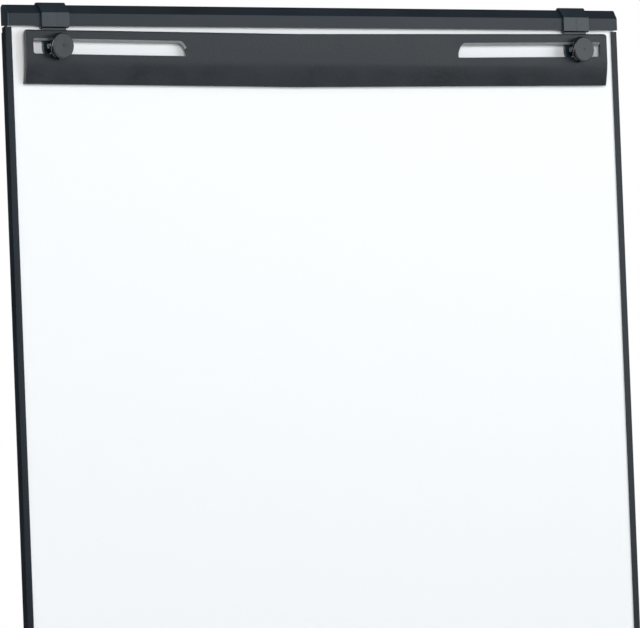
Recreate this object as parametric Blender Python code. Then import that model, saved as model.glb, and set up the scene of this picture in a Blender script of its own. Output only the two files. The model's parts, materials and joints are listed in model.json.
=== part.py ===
"""Tripod flipchart easel with a sliding clamp bar, leaning board and telescopic legs.

Board pieces are drawn in the board's own frame: x to the right, y towards the rear with
y = 0 on the writing surface, z up along the board from its lower edge. Leg pieces are drawn
in a frame of their own leg: z runs up along the tube and z = 0 is the top end of the tube.
"""
import math

import bmesh
import bpy
from mathutils import Matrix, Vector
from mathutils.geometry import tessellate_polygon

MM = 0.001
GAP = 0.3 * MM                      # between pieces that touch
RUN_FIT = 0.4 * MM                  # between pieces that slide or turn on each other

# Stance
LEAN = math.radians(4.0)            # board leans back from vertical
EDGE_HEIGHT = 850 * MM              # lower edge of the board above the floor
REAR_SPREAD = math.radians(20.0)    # rear leg from vertical
LEG_SPLAY = math.radians(13.0)      # front legs apart, in the board's plane

# Board
BOARD_WIDTH = 700 * MM
BOARD_HEIGHT = 1000 * MM
SHEET = 0.5 * MM                    # lacquered steel writing surface
CORE = 3.7 * MM
BACKING = 0.4 * MM
PROFILE_WALL = 1.0 * MM
PROFILE_WEB = 1.2 * MM
PROFILE_LIP = 6.7 * MM
PROFILE_TOP_GAP = 1.2 * MM          # side profiles stop this far under the rail

# Top rail
RAIL_HEIGHT = 19.8 * MM
RAIL_FACE = 11.4 * MM               # upright part of the front
RAIL_BEVEL_RUN = 6.9 * MM           # sloped part, front to rear
RAIL_REAR_CUT = 2.4 * MM            # cut corner at the top of the rear wall
RAIL_PROUD = 3.0 * MM               # rail stands forward of the side profiles
RAIL_CHANNEL = 10.5 * MM            # depth of the channel that holds the panel
RAIL_TAIL = 6.0 * MM                # rear wall reaches under the front one
RAIL_WALL = 1.2 * MM
CAP_PLATE = 2.6 * MM
CAP_FACET_RUN = 1.1 * MM            # front half of the cap's outer face slopes back
CAP_FACET_DEPTH = 5.4 * MM
CAP_SPIGOT = 9.0 * MM

# Pen tray
TRAY_LENGTH = 660 * MM
TRAY_DEPTH = 52 * MM
TRAY_WALL = 1.6 * MM
TRAY_BACK = 16 * MM
TRAY_LIP = 11 * MM
TRAY_CORNER = 4.0 * MM             # sloped lower front corner
TRAY_SHOULDER = 12 * MM             # end caps fall to the lip over this depth
TRAY_DROP = 2.0 * MM
TRAY_SCREW_X = 240 * MM
TRAY_SCREW_Z = 10 * MM

# Clips, studs, clamp bar and its knobs
KNOB_X = 298.2 * MM
KNOB_DROP = 19.8 * MM               # knob axis under the rail's lower edge
CLIP_WIDTH = 30 * MM
TONGUE_WIDTH = 25.6 * MM
CLIP_WALL = 1.8 * MM
CLIP_LIP = 1.2 * MM                 # front lip reaches under the rail
CLIP_HOOK = 13 * MM                 # rear hook, from the rail's top down
TONGUE_REAR = 0.9 * MM              # in front of the writing surface
TONGUE = 2.8 * MM
STUD_RADIUS = 3.0 * MM
STUD_HEAD_RADIUS = 6.0 * MM
STUD_HEAD = 1.1 * MM
STUD_GRIP = 6.5 * MM                # stud length inside the knob
BAR_LENGTH = 665 * MM
BAR_HEIGHT = 50.4 * MM
BAR_FRONT = 8.3 * MM                # in front of the writing surface
BAR_WALL = 3.6 * MM
BAR_FLAT = 28.0 * MM                # upright zone that holds the slots
BAR_TOE = 4.3 * MM                  # front of the lower edge
BAR_TOE_WALL = 3.8 * MM
BAR_CORNER = 3.0 * MM
BAR_SAG = 1.9 * MM                  # middle hangs lower than at the knobs
BAR_STATIONS = 24
SLOT_TOP = 8.0 * MM                 # under the bar's upper edge
SLOT_BOTTOM = 22.3 * MM
SLOT_OUTER = 324.5 * MM
SLOT_INNER_LOW = 155 * MM
SLOT_INNER_HIGH = 163.5 * MM
SLOT_BEVEL = 2.0 * MM
KNOB_AXIS_IN_BAR = 15.4 * MM        # under the bar's upper edge
WASHER = 0.8 * MM
WASHER_RADIUS = 9.5 * MM
KNOB_SKIRT_RADIUS = 12.7 * MM
KNOB_SKIRT = 5.2 * MM
KNOB_FACE_RADIUS = 12.0 * MM
KNOB_LENGTH = 8.4 * MM
KNOB_LOBES = 8
KNOB_LOBE_DEPTH = 2.2 * MM

# Tripod head
LEG_TOP_DROP = 100 * MM             # top of the front tubes under the board's upper edge
HINGE_DROP = 95 * MM
HEAD_TOP_DROP = 65 * MM
HEAD_BASE_DROP = 182 * MM
HEAD_SIDE = 40 * MM                 # plate reaches this far outside the leg tops
HEAD_PLATE = 6.0 * MM
HEAD_SCREW_INSET = 11 * MM
HEAD_SCREW_EDGE = 10 * MM
HEAD_SCREW_LOW_X = 20 * MM
SOCKET_WALL = 4.0 * MM
SOCKET_DEPTH = 64 * MM
SOCKET_ROOF = 6.0 * MM
SOCKET_TO_EAR = 1.2 * MM
HINGE_BEHIND_SOCKET = 1.5 * MM
EAR_THICKNESS = 6.0 * MM
EAR_RADIUS = 13 * MM
EAR_RISE = 8.0 * MM                 # ears widen upwards and downwards to the plate
EAR_FALL = 6.0 * MM
PIN_RADIUS = 4.0 * MM
PIN_HEAD_RADIUS = 7.0 * MM
PIN_HEAD = 4.0 * MM
PIN_NUT = 4.5 * MM
EYE_INSET = 1.5 * MM                # eye is narrower than the tube on each side
EYE_TO_TUBE = 30 * MM

# Legs
TUBE_RADIUS = 12.5 * MM
TUBE_WALL = 1.2 * MM
OUTER_LENGTH = 1120 * MM
REAR_OUTER_LENGTH = 1060 * MM
TUBE_PLAY = 0.7 * MM                # between the inner and the outer tube
INNER_OVERLAP = 300 * MM            # inner tube inside the outer one
BUSH_LENGTH = 30 * MM               # plug inside a tube
BUSH_HEAD = 8.0 * MM
COLLAR_WALL = 4.5 * MM
COLLAR_SLEEVE = 36 * MM
COLLAR_NECK = 34 * MM
BOSS_RADIUS = 8.5 * MM
BOSS_PROUD = 6.0 * MM
LEG_SCREW_RADIUS = 3.0 * MM
LEG_KNOB_RADIUS = 17 * MM
LEG_KNOB_LENGTH = 15 * MM
LEG_KNOB_LOBES = 5
LEG_KNOB_LOBE_DEPTH = 3.4 * MM
FOOT_WALL = 4.4 * MM
FOOT_SLEEVE = 34 * MM
FOOT_SOLE = 9 * MM

# Board brackets and wood screws
BRACKET_Z = 62 * MM                 # above the board's lower edge
BRACKET_HALF_HEIGHT = 20 * MM
BRACKET_SIDE = 10.5 * MM            # flange beside the saddle
BRACKET_FLANGE = 5.0 * MM
BRACKET_SCREW_SIDE = 5.0 * MM       # screw axis beside the saddle
SCREW_RADIUS = 1.8 * MM
SCREW_HEAD_RADIUS = 4.0 * MM
SCREW_HEAD = 2.6 * MM
SCREW_BITE = 3.0 * MM               # thread length inside the core

ROUND = 24
SMALL_ROUND = 10
KNOB_ROUND = 40
LEG_KNOB_ROUND = 30

# Places that follow from the sizes above
HALF = BOARD_WIDTH / 2
LIP_FRONT = -(GAP + PROFILE_WALL)
CORE_FRONT = SHEET + GAP
BACKING_FRONT = CORE_FRONT + CORE + GAP
BACKING_REAR = BACKING_FRONT + BACKING
LIP_REAR = BACKING_REAR + GAP
BOARD_REAR = LIP_REAR + PROFILE_WALL
PANEL_HALF = HALF - max(PROFILE_WEB, CAP_PLATE) - GAP
RAIL_Z = BOARD_HEIGHT - RAIL_HEIGHT
RAIL_FRONT_Y = LIP_FRONT - RAIL_PROUD
KNOB_Z = RAIL_Z - KNOB_DROP
BAR_TOP_Z = KNOB_Z + KNOB_AXIS_IN_BAR
BAR_REAR = BAR_FRONT - BAR_WALL
WASHER_REAR = BAR_FRONT + GAP
KNOB_REAR = WASHER_REAR + WASHER + GAP
HEAD_FRONT_Y = BACKING_REAR + GAP
HEAD_REAR_Y = HEAD_FRONT_Y + HEAD_PLATE
BORE_RADIUS = TUBE_RADIUS + GAP
INNER_RADIUS = TUBE_RADIUS - TUBE_WALL - TUBE_PLAY
SOCKET_RADIUS = TUBE_RADIUS + SOCKET_WALL
COLLAR_RADIUS = TUBE_RADIUS + COLLAR_WALL
BOSS_REACH = COLLAR_RADIUS + BOSS_PROUD
FOOT_RADIUS = INNER_RADIUS + FOOT_WALL
LEG_PLANE = HEAD_REAR_Y + TUBE_RADIUS
EYE_HALF_WIDTH = TUBE_RADIUS - EYE_INSET
HINGE_Y = LEG_PLANE + SOCKET_RADIUS + HINGE_BEHIND_SOCKET
HINGE_Z = BOARD_HEIGHT - HINGE_DROP
HEAD_LEG_X = EYE_HALF_WIDTH + GAP + EAR_THICKNESS + SOCKET_TO_EAR + SOCKET_RADIUS
HEAD_LEG_Z = BOARD_HEIGHT - LEG_TOP_DROP
HEAD_HALF_WIDTH = HEAD_LEG_X + HEAD_SIDE
HEAD_TOP = BOARD_HEIGHT - HEAD_TOP_DROP
HEAD_BASE = BOARD_HEIGHT - HEAD_BASE_DROP
HEAD_SCREW_X = HEAD_HALF_WIDTH - HEAD_SCREW_INSET
HEAD_SCREW_HIGH = HEAD_TOP - HEAD_SCREW_EDGE
HEAD_SCREW_LOW = HEAD_BASE + HEAD_SCREW_EDGE
HEAD_SCREWS = (
    (-HEAD_SCREW_X, HEAD_SCREW_HIGH), (HEAD_SCREW_X, HEAD_SCREW_HIGH),
    (-HEAD_SCREW_LOW_X, HEAD_SCREW_LOW), (HEAD_SCREW_LOW_X, HEAD_SCREW_LOW),
)
SADDLE_RADIUS = TUBE_RADIUS + SOCKET_WALL
BRACKET_DROP = (HEAD_LEG_Z - BRACKET_Z) / math.cos(LEG_SPLAY)   # along the leg, from the top of its tube
BRACKET_HALF_WIDTH = SADDLE_RADIUS + BRACKET_SIDE
BRACKET_SCREW_X = SADDLE_RADIUS + BRACKET_SCREW_SIDE
COLORS = {
    "white_lacquer": ((0.93, 0.94, 0.95), 0.18, 0.0),
    "hardboard": ((0.45, 0.33, 0.22), 0.8, 0.0),
    "grey_backing": ((0.42, 0.43, 0.45), 0.5, 0.0),
    "navy_lacquer": ((0.022, 0.028, 0.045), 0.35, 0.0),
    "anthracite_rail": ((0.045, 0.05, 0.06), 0.38, 0.0),
    "anthracite_plastic": ((0.05, 0.053, 0.06), 0.5, 0.0),
    "black_plastic": ((0.02, 0.02, 0.022), 0.5, 0.0),
    "aluminium": ((0.72, 0.73, 0.74), 0.35, 1.0),
    "zinc_steel": ((0.55, 0.56, 0.58), 0.35, 1.0),
    "rubber": ((0.015, 0.015, 0.016), 0.8, 0.0),
}


def material(name):
    """Principled material of one of the easel's finishes."""
    found = bpy.data.materials.get(name)
    if found:
        return found
    color, roughness, metallic = COLORS[name]
    made = bpy.data.materials.new(name)
    made.use_nodes = True
    shader = made.node_tree.nodes["Principled BSDF"]
    shader.inputs["Base Color"].default_value = (*color, 1.0)
    shader.inputs["Roughness"].default_value = roughness
    shader.inputs["Metallic"].default_value = metallic
    return made


def mesh_object(name, bm, parent=None, finish=None):
    """Link a bmesh as an object, faces out, round faces smooth."""
    bmesh.ops.recalc_face_normals(bm, faces=bm.faces)
    mesh = bpy.data.meshes.new(name)
    bm.to_mesh(mesh)
    bm.free()
    mesh.shade_smooth()
    mesh.set_sharp_from_angle(angle=math.radians(35))
    made = bpy.data.objects.new(name, mesh)
    bpy.context.scene.collection.objects.link(made)
    made.parent = parent
    if finish:
        mesh.materials.append(material(finish))
    return made


def empty(name, parent, location, rotation=(0, 0, 0)):
    """Guide point that carries the pieces of one joint or one leg."""
    made = bpy.data.objects.new(name, None)
    bpy.context.scene.collection.objects.link(made)
    made.parent = parent
    made.location = location
    made.rotation_euler = rotation
    return made


def prism(rings, axis, low, high):
    """Solid between two parallel copies of an outline; rings after the first are holes."""
    places = {
        "X": lambda a, b, t: (t, a, b),
        "Y": lambda a, b, t: (a, t, b),
        "Z": lambda a, b, t: (a, b, t),
    }
    place = places[axis]
    flat = [[Vector((a, b, 0)) for a, b in ring] for ring in rings]
    triangles = tessellate_polygon(flat)
    bm = bmesh.new()
    caps = []
    for level in (low, high):
        caps.append([bm.verts.new(place(p.x, p.y, level)) for ring in flat for p in ring])
    for cap in caps:
        for triangle in triangles:
            bm.faces.new([cap[index] for index in triangle])
    start = 0
    for ring in flat:
        count = len(ring)
        for step in range(count):
            here = start + step
            after = start + (step + 1) % count
            bm.faces.new((caps[0][here], caps[0][after], caps[1][after], caps[1][here]))
        start += count
    return bm


def turned(profile, segments=ROUND, closed=False, lobes=0):
    """Solid of revolution about z from (radius, z, lobe depth) points.

    An open profile starts and ends on the axis. A closed one is a ring section.
    """
    bm = bmesh.new()
    rings = []
    for point in profile:
        radius, height = point[0], point[1]
        depth = point[2] if len(point) > 2 else 0.0
        if radius == 0:
            rings.append([bm.verts.new((0, 0, height))])
            continue
        ring = []
        for step in range(segments):
            angle = 2 * math.pi * step / segments
            dip = depth * (0.5 - 0.5 * math.cos(lobes * angle)) ** 2
            reach = radius - dip
            ring.append(bm.verts.new((reach * math.cos(angle), reach * math.sin(angle), height)))
        rings.append(ring)
    pairs = list(zip(rings, rings[1:]))
    if closed:
        pairs.append((rings[-1], rings[0]))
    for first, second in pairs:
        for step in range(segments):
            after = (step + 1) % segments
            if len(first) == 1:
                bm.faces.new((first[0], second[step], second[after]))
            elif len(second) == 1:
                bm.faces.new((first[step], second[0], first[after]))
            else:
                bm.faces.new((first[step], second[step], second[after], first[after]))
    return bm


def circle(center, radius, segments=16):
    """Points of a round hole outline."""
    points = []
    for step in range(segments):
        angle = 2 * math.pi * step / segments
        points.append((center[0] + radius * math.cos(angle), center[1] + radius * math.sin(angle)))
    return points


def arc(center, radius, start, end, steps):
    """Points of an arc between two angles in degrees."""
    points = []
    for step in range(steps + 1):
        angle = math.radians(start + (end - start) * step / steps)
        points.append((center[0] + radius * math.cos(angle), center[1] + radius * math.sin(angle)))
    return points


def box(low, high):
    """Plain block between two corners."""
    outline = [(low[0], low[1]), (high[0], low[1]), (high[0], high[1]), (low[0], high[1])]
    return prism([outline], "Z", low[2], high[2])


def combine(target, other, operation):
    """Join a helper shape to an object, or cut it away, and drop the helper."""
    modifier = target.modifiers.new(operation.lower(), "BOOLEAN")
    modifier.operation = operation
    modifier.object = other
    bpy.context.view_layer.update()
    depsgraph = bpy.context.evaluated_depsgraph_get()
    result = bpy.data.meshes.new_from_object(target.evaluated_get(depsgraph))
    target.modifiers.clear()
    target.data = result
    result.name = target.name
    result.shade_smooth()
    result.set_sharp_from_angle(angle=math.radians(35))
    bpy.data.objects.remove(other)


def helper(bm, parent, matrix=None):
    """Shape that is only used by combine; it sits in the same frame as its target."""
    made = mesh_object("helper", bm, parent)
    if matrix:
        made.matrix_local = matrix
    return made


def along_y(x, y, z):
    """Matrix that stands a turned shape's axis along the board's -y, its base at a point."""
    return Matrix.Translation((x, y, z)) @ Matrix.Rotation(math.radians(90), 4, "X")


def build_panel(board):
    """Steel writing sheet, hardboard core and backing sheet."""
    top = RAIL_Z + RAIL_CHANNEL - GAP
    bottom = PROFILE_WEB + GAP
    edge = [(-PANEL_HALF, bottom), (PANEL_HALF, bottom), (PANEL_HALF, top), (-PANEL_HALF, top)]
    hole = SCREW_RADIUS + GAP
    tray_holes = [circle((side * TRAY_SCREW_X, TRAY_SCREW_Z), hole, 10) for side in (-1, 1)]
    rear_holes = [circle(place, hole, 10) for place in list(HEAD_SCREWS) + bracket_screw_places()]
    sheet = prism([edge] + tray_holes, "Y", 0, SHEET)
    mesh_object("front_sheet", sheet, board, "white_lacquer")
    core = prism([edge] + tray_holes + rear_holes, "Y", CORE_FRONT, CORE_FRONT + CORE)
    mesh_object("core_panel", core, board, "hardboard")
    backing = prism([edge] + rear_holes, "Y", BACKING_FRONT, BACKING_REAR)
    mesh_object("rear_sheet", backing, board, "grey_backing")


def channel_section(outer, inward):
    """Section of the edge profile round the panel, as (across, y) points."""
    web = outer + inward * PROFILE_WEB
    lip = outer + inward * PROFILE_LIP
    return [
        (outer, LIP_FRONT), (lip, LIP_FRONT),
        (lip, LIP_FRONT + PROFILE_WALL), (web, LIP_FRONT + PROFILE_WALL),
        (web, LIP_REAR), (lip, LIP_REAR),
        (lip, BOARD_REAR), (outer, BOARD_REAR),
    ]


def build_profiles(board):
    """Side profiles and the lower edge profile."""
    top = RAIL_Z - PROFILE_TOP_GAP
    for side, name in ((-1, "left"), (1, "right")):
        section = channel_section(side * HALF, -side)
        tail_clear = RAIL_Z - RAIL_TAIL - GAP
        shape = prism([section], "Z", 0, top)
        profile = mesh_object("side_profile_" + name, shape, board, "navy_lacquer")
        notch = box((-BOARD_WIDTH, BACKING_REAR, tail_clear), (BOARD_WIDTH, BOARD_REAR + MM, top + MM))
        combine(profile, helper(notch, board), "DIFFERENCE")
    across = [(b, a) for a, b in channel_section(0, 1)]
    half = HALF - PROFILE_LIP - GAP
    mesh_object("bottom_profile", prism([across], "X", -half, half), board, "navy_lacquer")


def rail_outline():
    """Outer (y, z) outline of the rail above its lower edge."""
    rear = BOARD_REAR
    return [
        (RAIL_FRONT_Y, 0), (RAIL_FRONT_Y, RAIL_FACE),
        (RAIL_FRONT_Y + RAIL_BEVEL_RUN, RAIL_HEIGHT), (rear - RAIL_REAR_CUT, RAIL_HEIGHT),
        (rear, RAIL_HEIGHT - RAIL_REAR_CUT), (rear, -RAIL_TAIL),
    ]


def rail_chamber():
    """(y, z) outline of the hollow above the panel channel."""
    rise = (RAIL_HEIGHT - RAIL_FACE) / RAIL_BEVEL_RUN
    low = RAIL_CHANNEL + RAIL_WALL
    high = RAIL_HEIGHT - RAIL_WALL
    slope_offset = RAIL_WALL * math.hypot(1, rise)
    start = max(RAIL_FRONT_Y + RAIL_WALL, RAIL_FRONT_Y + (low + slope_offset - RAIL_FACE) / rise)
    end = RAIL_FRONT_Y + (high + slope_offset - RAIL_FACE) / rise
    rear = BOARD_REAR - RAIL_WALL
    cut = RAIL_REAR_CUT - RAIL_WALL * math.tan(math.radians(22.5))
    return [(start, low), (end, high), (rear - cut, high), (rear, high - cut), (rear, low)]


def shift(points, dz):
    """Outline moved up by dz."""
    return [(a, b + dz) for a, b in points]


def inset(points, amount):
    """Convex outline drawn in towards its centre on each side by an amount."""
    cy = sum(a for a, b in points) / len(points)
    cz = sum(b for a, b in points) / len(points)
    reach = min(math.hypot(a - cy, b - cz) for a, b in points)
    scale = 1 - 2.5 * amount / reach
    return [(cy + (a - cy) * scale, cz + (b - cz) * scale) for a, b in points]


def build_rail(board):
    """Top rail extrusion and its two end caps."""
    outer = rail_outline()
    channel = [(LIP_REAR, -RAIL_TAIL), (LIP_REAR, RAIL_CHANNEL), (-GAP, RAIL_CHANNEL), (-GAP, 0)]
    section = shift(outer + channel, RAIL_Z)
    front_hollow = [
        (RAIL_FRONT_Y + RAIL_WALL, RAIL_WALL), (-GAP - RAIL_WALL, RAIL_WALL),
        (-GAP - RAIL_WALL, RAIL_CHANNEL), (RAIL_FRONT_Y + RAIL_WALL, RAIL_CHANNEL),
    ]
    hollows = [shift(rail_chamber(), RAIL_Z), shift(front_hollow, RAIL_Z)]
    half = HALF - CAP_PLATE - GAP
    mesh_object("top_rail", prism([section] + hollows, "X", -half, half), board, "anthracite_rail")
    plate = shift(outer[:5] + [(BOARD_REAR, 0)], RAIL_Z)
    spigot = inset(shift(rail_chamber(), RAIL_Z), GAP)
    for side, name in ((-1, "left"), (1, "right")):
        ends = sorted((side * HALF, side * (HALF - CAP_PLATE)))
        cap = mesh_object("rail_end_cap_" + name, prism([plate], "X", *ends), board, "anthracite_plastic")
        ends = sorted((side * (HALF - CAP_PLATE / 2), side * (half - CAP_SPIGOT)))
        combine(cap, helper(prism([spigot], "X", *ends), board), "UNION")
        beyond = 0.2
        outside = HALF + beyond * CAP_FACET_RUN
        ahead = RAIL_FRONT_Y - beyond * CAP_FACET_DEPTH
        inside = HALF - (1 + beyond) * CAP_FACET_RUN
        behind = RAIL_FRONT_Y + (1 + beyond) * CAP_FACET_DEPTH
        wedge = [(side * outside, behind), (side * inside, ahead), (side * outside, ahead)]
        combine(cap, helper(prism([wedge], "Z", RAIL_Z - MM, BOARD_HEIGHT + MM), board), "DIFFERENCE")


def build_tray(board):
    """Pen tray under the writing surface, with its end caps and screws."""
    back = LIP_FRONT - GAP
    floor = -TRAY_DROP
    front = back - TRAY_DEPTH
    inner_front = front + TRAY_WALL
    inner_gain = TRAY_WALL * 0.4
    outer_edge = [
        (back, floor - TRAY_WALL), (front + TRAY_CORNER, floor - TRAY_WALL),
        (front, floor + TRAY_CORNER / 2), (front, TRAY_LIP),
    ]
    section = [(back, TRAY_BACK)] + outer_edge + [
        (inner_front, TRAY_LIP), (inner_front, floor + TRAY_CORNER / 2 + inner_gain),
        (front + TRAY_CORNER + inner_gain, floor), (back - TRAY_WALL, floor),
        (back - TRAY_WALL, TRAY_BACK),
    ]
    half = TRAY_LENGTH / 2 - TRAY_WALL - GAP
    tray = mesh_object("pen_tray", prism([section], "X", -half, half), board, "anthracite_rail")
    for side in (-1, 1):
        bore = turned([(0, 0), (SCREW_RADIUS + GAP, 0), (SCREW_RADIUS + GAP, 5 * MM), (0, 5 * MM)], 10)
        place = along_y(side * TRAY_SCREW_X, back + MM, TRAY_SCREW_Z)
        combine(tray, helper(bore, board, place), "DIFFERENCE")
    end = [(back, TRAY_BACK)] + outer_edge + [(back - TRAY_SHOULDER, TRAY_LIP + MM)]
    for side, name in ((-1, "left"), (1, "right")):
        ends = sorted((side * TRAY_LENGTH / 2, side * (TRAY_LENGTH / 2 - TRAY_WALL)))
        mesh_object("tray_end_cap_" + name, prism([end], "X", *ends), board, "black_plastic")
        seat = back - TRAY_WALL - GAP
        shape = screw_shape(CORE_FRONT + SCREW_BITE - seat)
        screw = mesh_object("tray_screw_" + name, shape, board, "zinc_steel")
        screw.matrix_local = along_y(side * TRAY_SCREW_X, seat, TRAY_SCREW_Z)


def screw_shape(shank):
    """Pan-head screw: head above z = 0, shank below it, with a round driver recess."""
    recess = 1.4 * MM
    return turned([
        (0, SCREW_HEAD - recess), (recess, SCREW_HEAD - recess), (recess, SCREW_HEAD),
        (SCREW_HEAD_RADIUS * 0.7, SCREW_HEAD), (SCREW_HEAD_RADIUS, SCREW_HEAD * 0.45),
        (SCREW_HEAD_RADIUS, 0), (SCREW_RADIUS, 0), (SCREW_RADIUS, -shank), (0, -shank),
    ], SMALL_ROUND)


def rear_screw(name, x, z, seat, board):
    """Screw driven into the core from behind."""
    shank = seat - (CORE_FRONT + CORE - SCREW_BITE)
    screw = mesh_object(name, screw_shape(shank), board, "zinc_steel")
    screw.matrix_local = Matrix.Translation((x, seat, z)) @ Matrix.Rotation(math.radians(-90), 4, "X")
    return screw


def clip_section():
    """(y, z) section of the clip round the rail, down to the step under it."""
    fit = RUN_FIT
    inner_front = RAIL_FRONT_Y - fit
    outer_front = inner_front - CLIP_WALL
    inner_rear = BOARD_REAR + fit
    outer_rear = inner_rear + CLIP_WALL
    inner_top = RAIL_HEIGHT + fit
    outer_top = inner_top + CLIP_WALL
    half_turn = math.atan2(RAIL_HEIGHT - RAIL_FACE, RAIL_BEVEL_RUN)
    face_gain = math.tan((math.pi / 2 - half_turn) / 2)
    top_gain = math.tan(half_turn / 2)
    step_top = -fit
    step_low = step_top - CLIP_WALL
    hook = RAIL_HEIGHT - CLIP_HOOK
    bevel_end = RAIL_FRONT_Y + RAIL_BEVEL_RUN
    corner_gain = math.tan(math.radians(22.5))
    rear_corner = BOARD_REAR - RAIL_REAR_CUT
    return [
        (outer_rear, hook), (outer_rear, RAIL_HEIGHT - RAIL_REAR_CUT + corner_gain * (fit + CLIP_WALL)),
        (rear_corner + corner_gain * (fit + CLIP_WALL), outer_top),
        (bevel_end - top_gain * (fit + CLIP_WALL), outer_top),
        (outer_front, RAIL_FACE + face_gain * (fit + CLIP_WALL)),
        (outer_front, -CLIP_LIP), (-TONGUE_REAR - TONGUE, step_low),
        (-TONGUE_REAR, step_low), (-TONGUE_REAR, step_top), (inner_front, step_top),
        (inner_front, RAIL_FACE + face_gain * fit), (bevel_end - top_gain * fit, inner_top),
        (rear_corner + corner_gain * fit, inner_top),
        (inner_rear, RAIL_HEIGHT - RAIL_REAR_CUT + corner_gain * fit), (inner_rear, hook),
    ]


def build_clip(board, side, name):
    """Sliding clip with its tongue, and the stud that the tongue holds."""
    carrier = empty("guide_clip_" + name, board, (side * KNOB_X, 0, KNOB_Z))
    lift = RAIL_Z - KNOB_Z
    half = CLIP_WIDTH / 2
    wrap = prism([shift(clip_section(), lift)], "X", -half, half)
    clip = mesh_object("clip_" + name, wrap, carrier, "anthracite_plastic")
    reach = TONGUE_WIDTH / 2
    root = lift - RUN_FIT - CLIP_WALL / 2
    tongue = [(reach, root), (-reach, root)] + arc((0, 0), reach, 180, 360, 16)
    front = -TONGUE_REAR - TONGUE
    combine(clip, helper(prism([tongue], "Y", front, -TONGUE_REAR), carrier), "UNION")
    bore = STUD_RADIUS + GAP
    sink = STUD_HEAD_RADIUS + GAP
    sink_floor = STUD_HEAD + GAP
    cutter = turned([
        (0, -MM), (sink, -MM), (sink, sink_floor),
        (bore, sink_floor), (bore, TONGUE + MM), (0, TONGUE + MM),
    ])
    combine(clip, helper(cutter, carrier, along_y(0, -TONGUE_REAR, 0)), "DIFFERENCE")
    stud_rear = TONGUE_REAR
    tip = KNOB_REAR + STUD_GRIP - stud_rear
    stud = mesh_object("stud_" + name, turned([
        (0, 0), (STUD_HEAD_RADIUS, 0), (STUD_HEAD_RADIUS, STUD_HEAD), (STUD_RADIUS, STUD_HEAD),
        (STUD_RADIUS, tip - MM), (STUD_RADIUS - 0.8 * MM, tip), (0, tip),
    ], 16), carrier, "zinc_steel")
    stud.matrix_local = along_y(0, -stud_rear, 0)
    return carrier


def build_knob(carrier, name):
    """Washer and knob that press the clamp bar."""
    bore = STUD_RADIUS + RUN_FIT
    ring = [(bore, 0), (WASHER_RADIUS, 0), (WASHER_RADIUS, WASHER), (bore, WASHER)]
    washer = mesh_object("knob_washer_" + name, turned(ring, ROUND, True), carrier, "zinc_steel")
    washer.matrix_local = along_y(0, -WASHER_REAR, 0)
    depth = STUD_GRIP + RUN_FIT
    skirt = KNOB_SKIRT_RADIUS
    lobe = KNOB_LOBE_DEPTH
    face = KNOB_FACE_RADIUS
    knob = mesh_object("clamp_knob_" + name, turned([
        (0, depth), (bore, depth), (bore, 0),
        (skirt - 1.0 * MM, 0, lobe), (skirt, 0.8 * MM, lobe),
        (skirt - 0.3 * MM, KNOB_SKIRT - 0.8 * MM, lobe), (skirt - 1.2 * MM, KNOB_SKIRT, lobe),
        (face - 0.7 * MM, KNOB_SKIRT), (face, KNOB_SKIRT + 0.7 * MM),
        (face, KNOB_LENGTH - 1.3 * MM), (face - 0.4 * MM, KNOB_LENGTH - 0.55 * MM),
        (face - 1.4 * MM, KNOB_LENGTH - 0.1 * MM), (0, KNOB_LENGTH),
    ], KNOB_ROUND, False, KNOB_LOBES), carrier, "anthracite_plastic")
    knob.matrix_local = along_y(0, -KNOB_REAR, 0)


def bar_sag(x):
    """How far the bar hangs at x, against its height at the knobs."""
    return BAR_SAG * ((x / KNOB_X) ** 2 - 1)


def bar_section():
    """(y, z) section of the clamp bar under its upper edge."""
    reach = BAR_HEIGHT - BAR_FLAT
    steps = 4
    front = []
    rear = []
    for step in range(1, steps + 1):
        part = step / steps
        ease = part ** 1.5
        height = -BAR_FLAT - reach * part
        front.append((-(BAR_FRONT + (BAR_TOE - BAR_FRONT) * ease), height))
        toe_rear = BAR_TOE - BAR_TOE_WALL
        rear.append((-(BAR_REAR + (toe_rear - BAR_REAR) * ease), height))
    top = [
        (-BAR_REAR, 0), (-BAR_FRONT + 1.6 * MM, 0),
        (-BAR_FRONT + 0.5 * MM, -0.6 * MM), (-BAR_FRONT, -2.2 * MM),
    ]
    return top + [(-BAR_FRONT, -BAR_FLAT)] + front + rear[::-1] + [(-BAR_REAR, -BAR_FLAT)]


def slot_ring(bevel):
    """(x, z) outline of the right slot; the bevel narrows it from above."""
    high = -SLOT_TOP - bevel
    low = -SLOT_BOTTOM
    corner = 2.2 * MM
    outer = arc((SLOT_OUTER - corner, low + corner), corner, 270, 360, 4)
    outer += arc((SLOT_OUTER - corner, high - corner), corner, 0, 90, 4)
    sweep = SLOT_INNER_HIGH - SLOT_INNER_LOW
    drop = high - low
    inner = []
    for step in range(7):
        angle = math.radians(90 * step / 6)
        across = SLOT_INNER_HIGH - sweep * math.sin(angle) ** 1.2
        inner.append((across, high - drop * 0.92 * (1 - math.cos(angle))))
    return outer + inner + [(SLOT_INNER_LOW + 0.9 * MM, low)]


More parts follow.
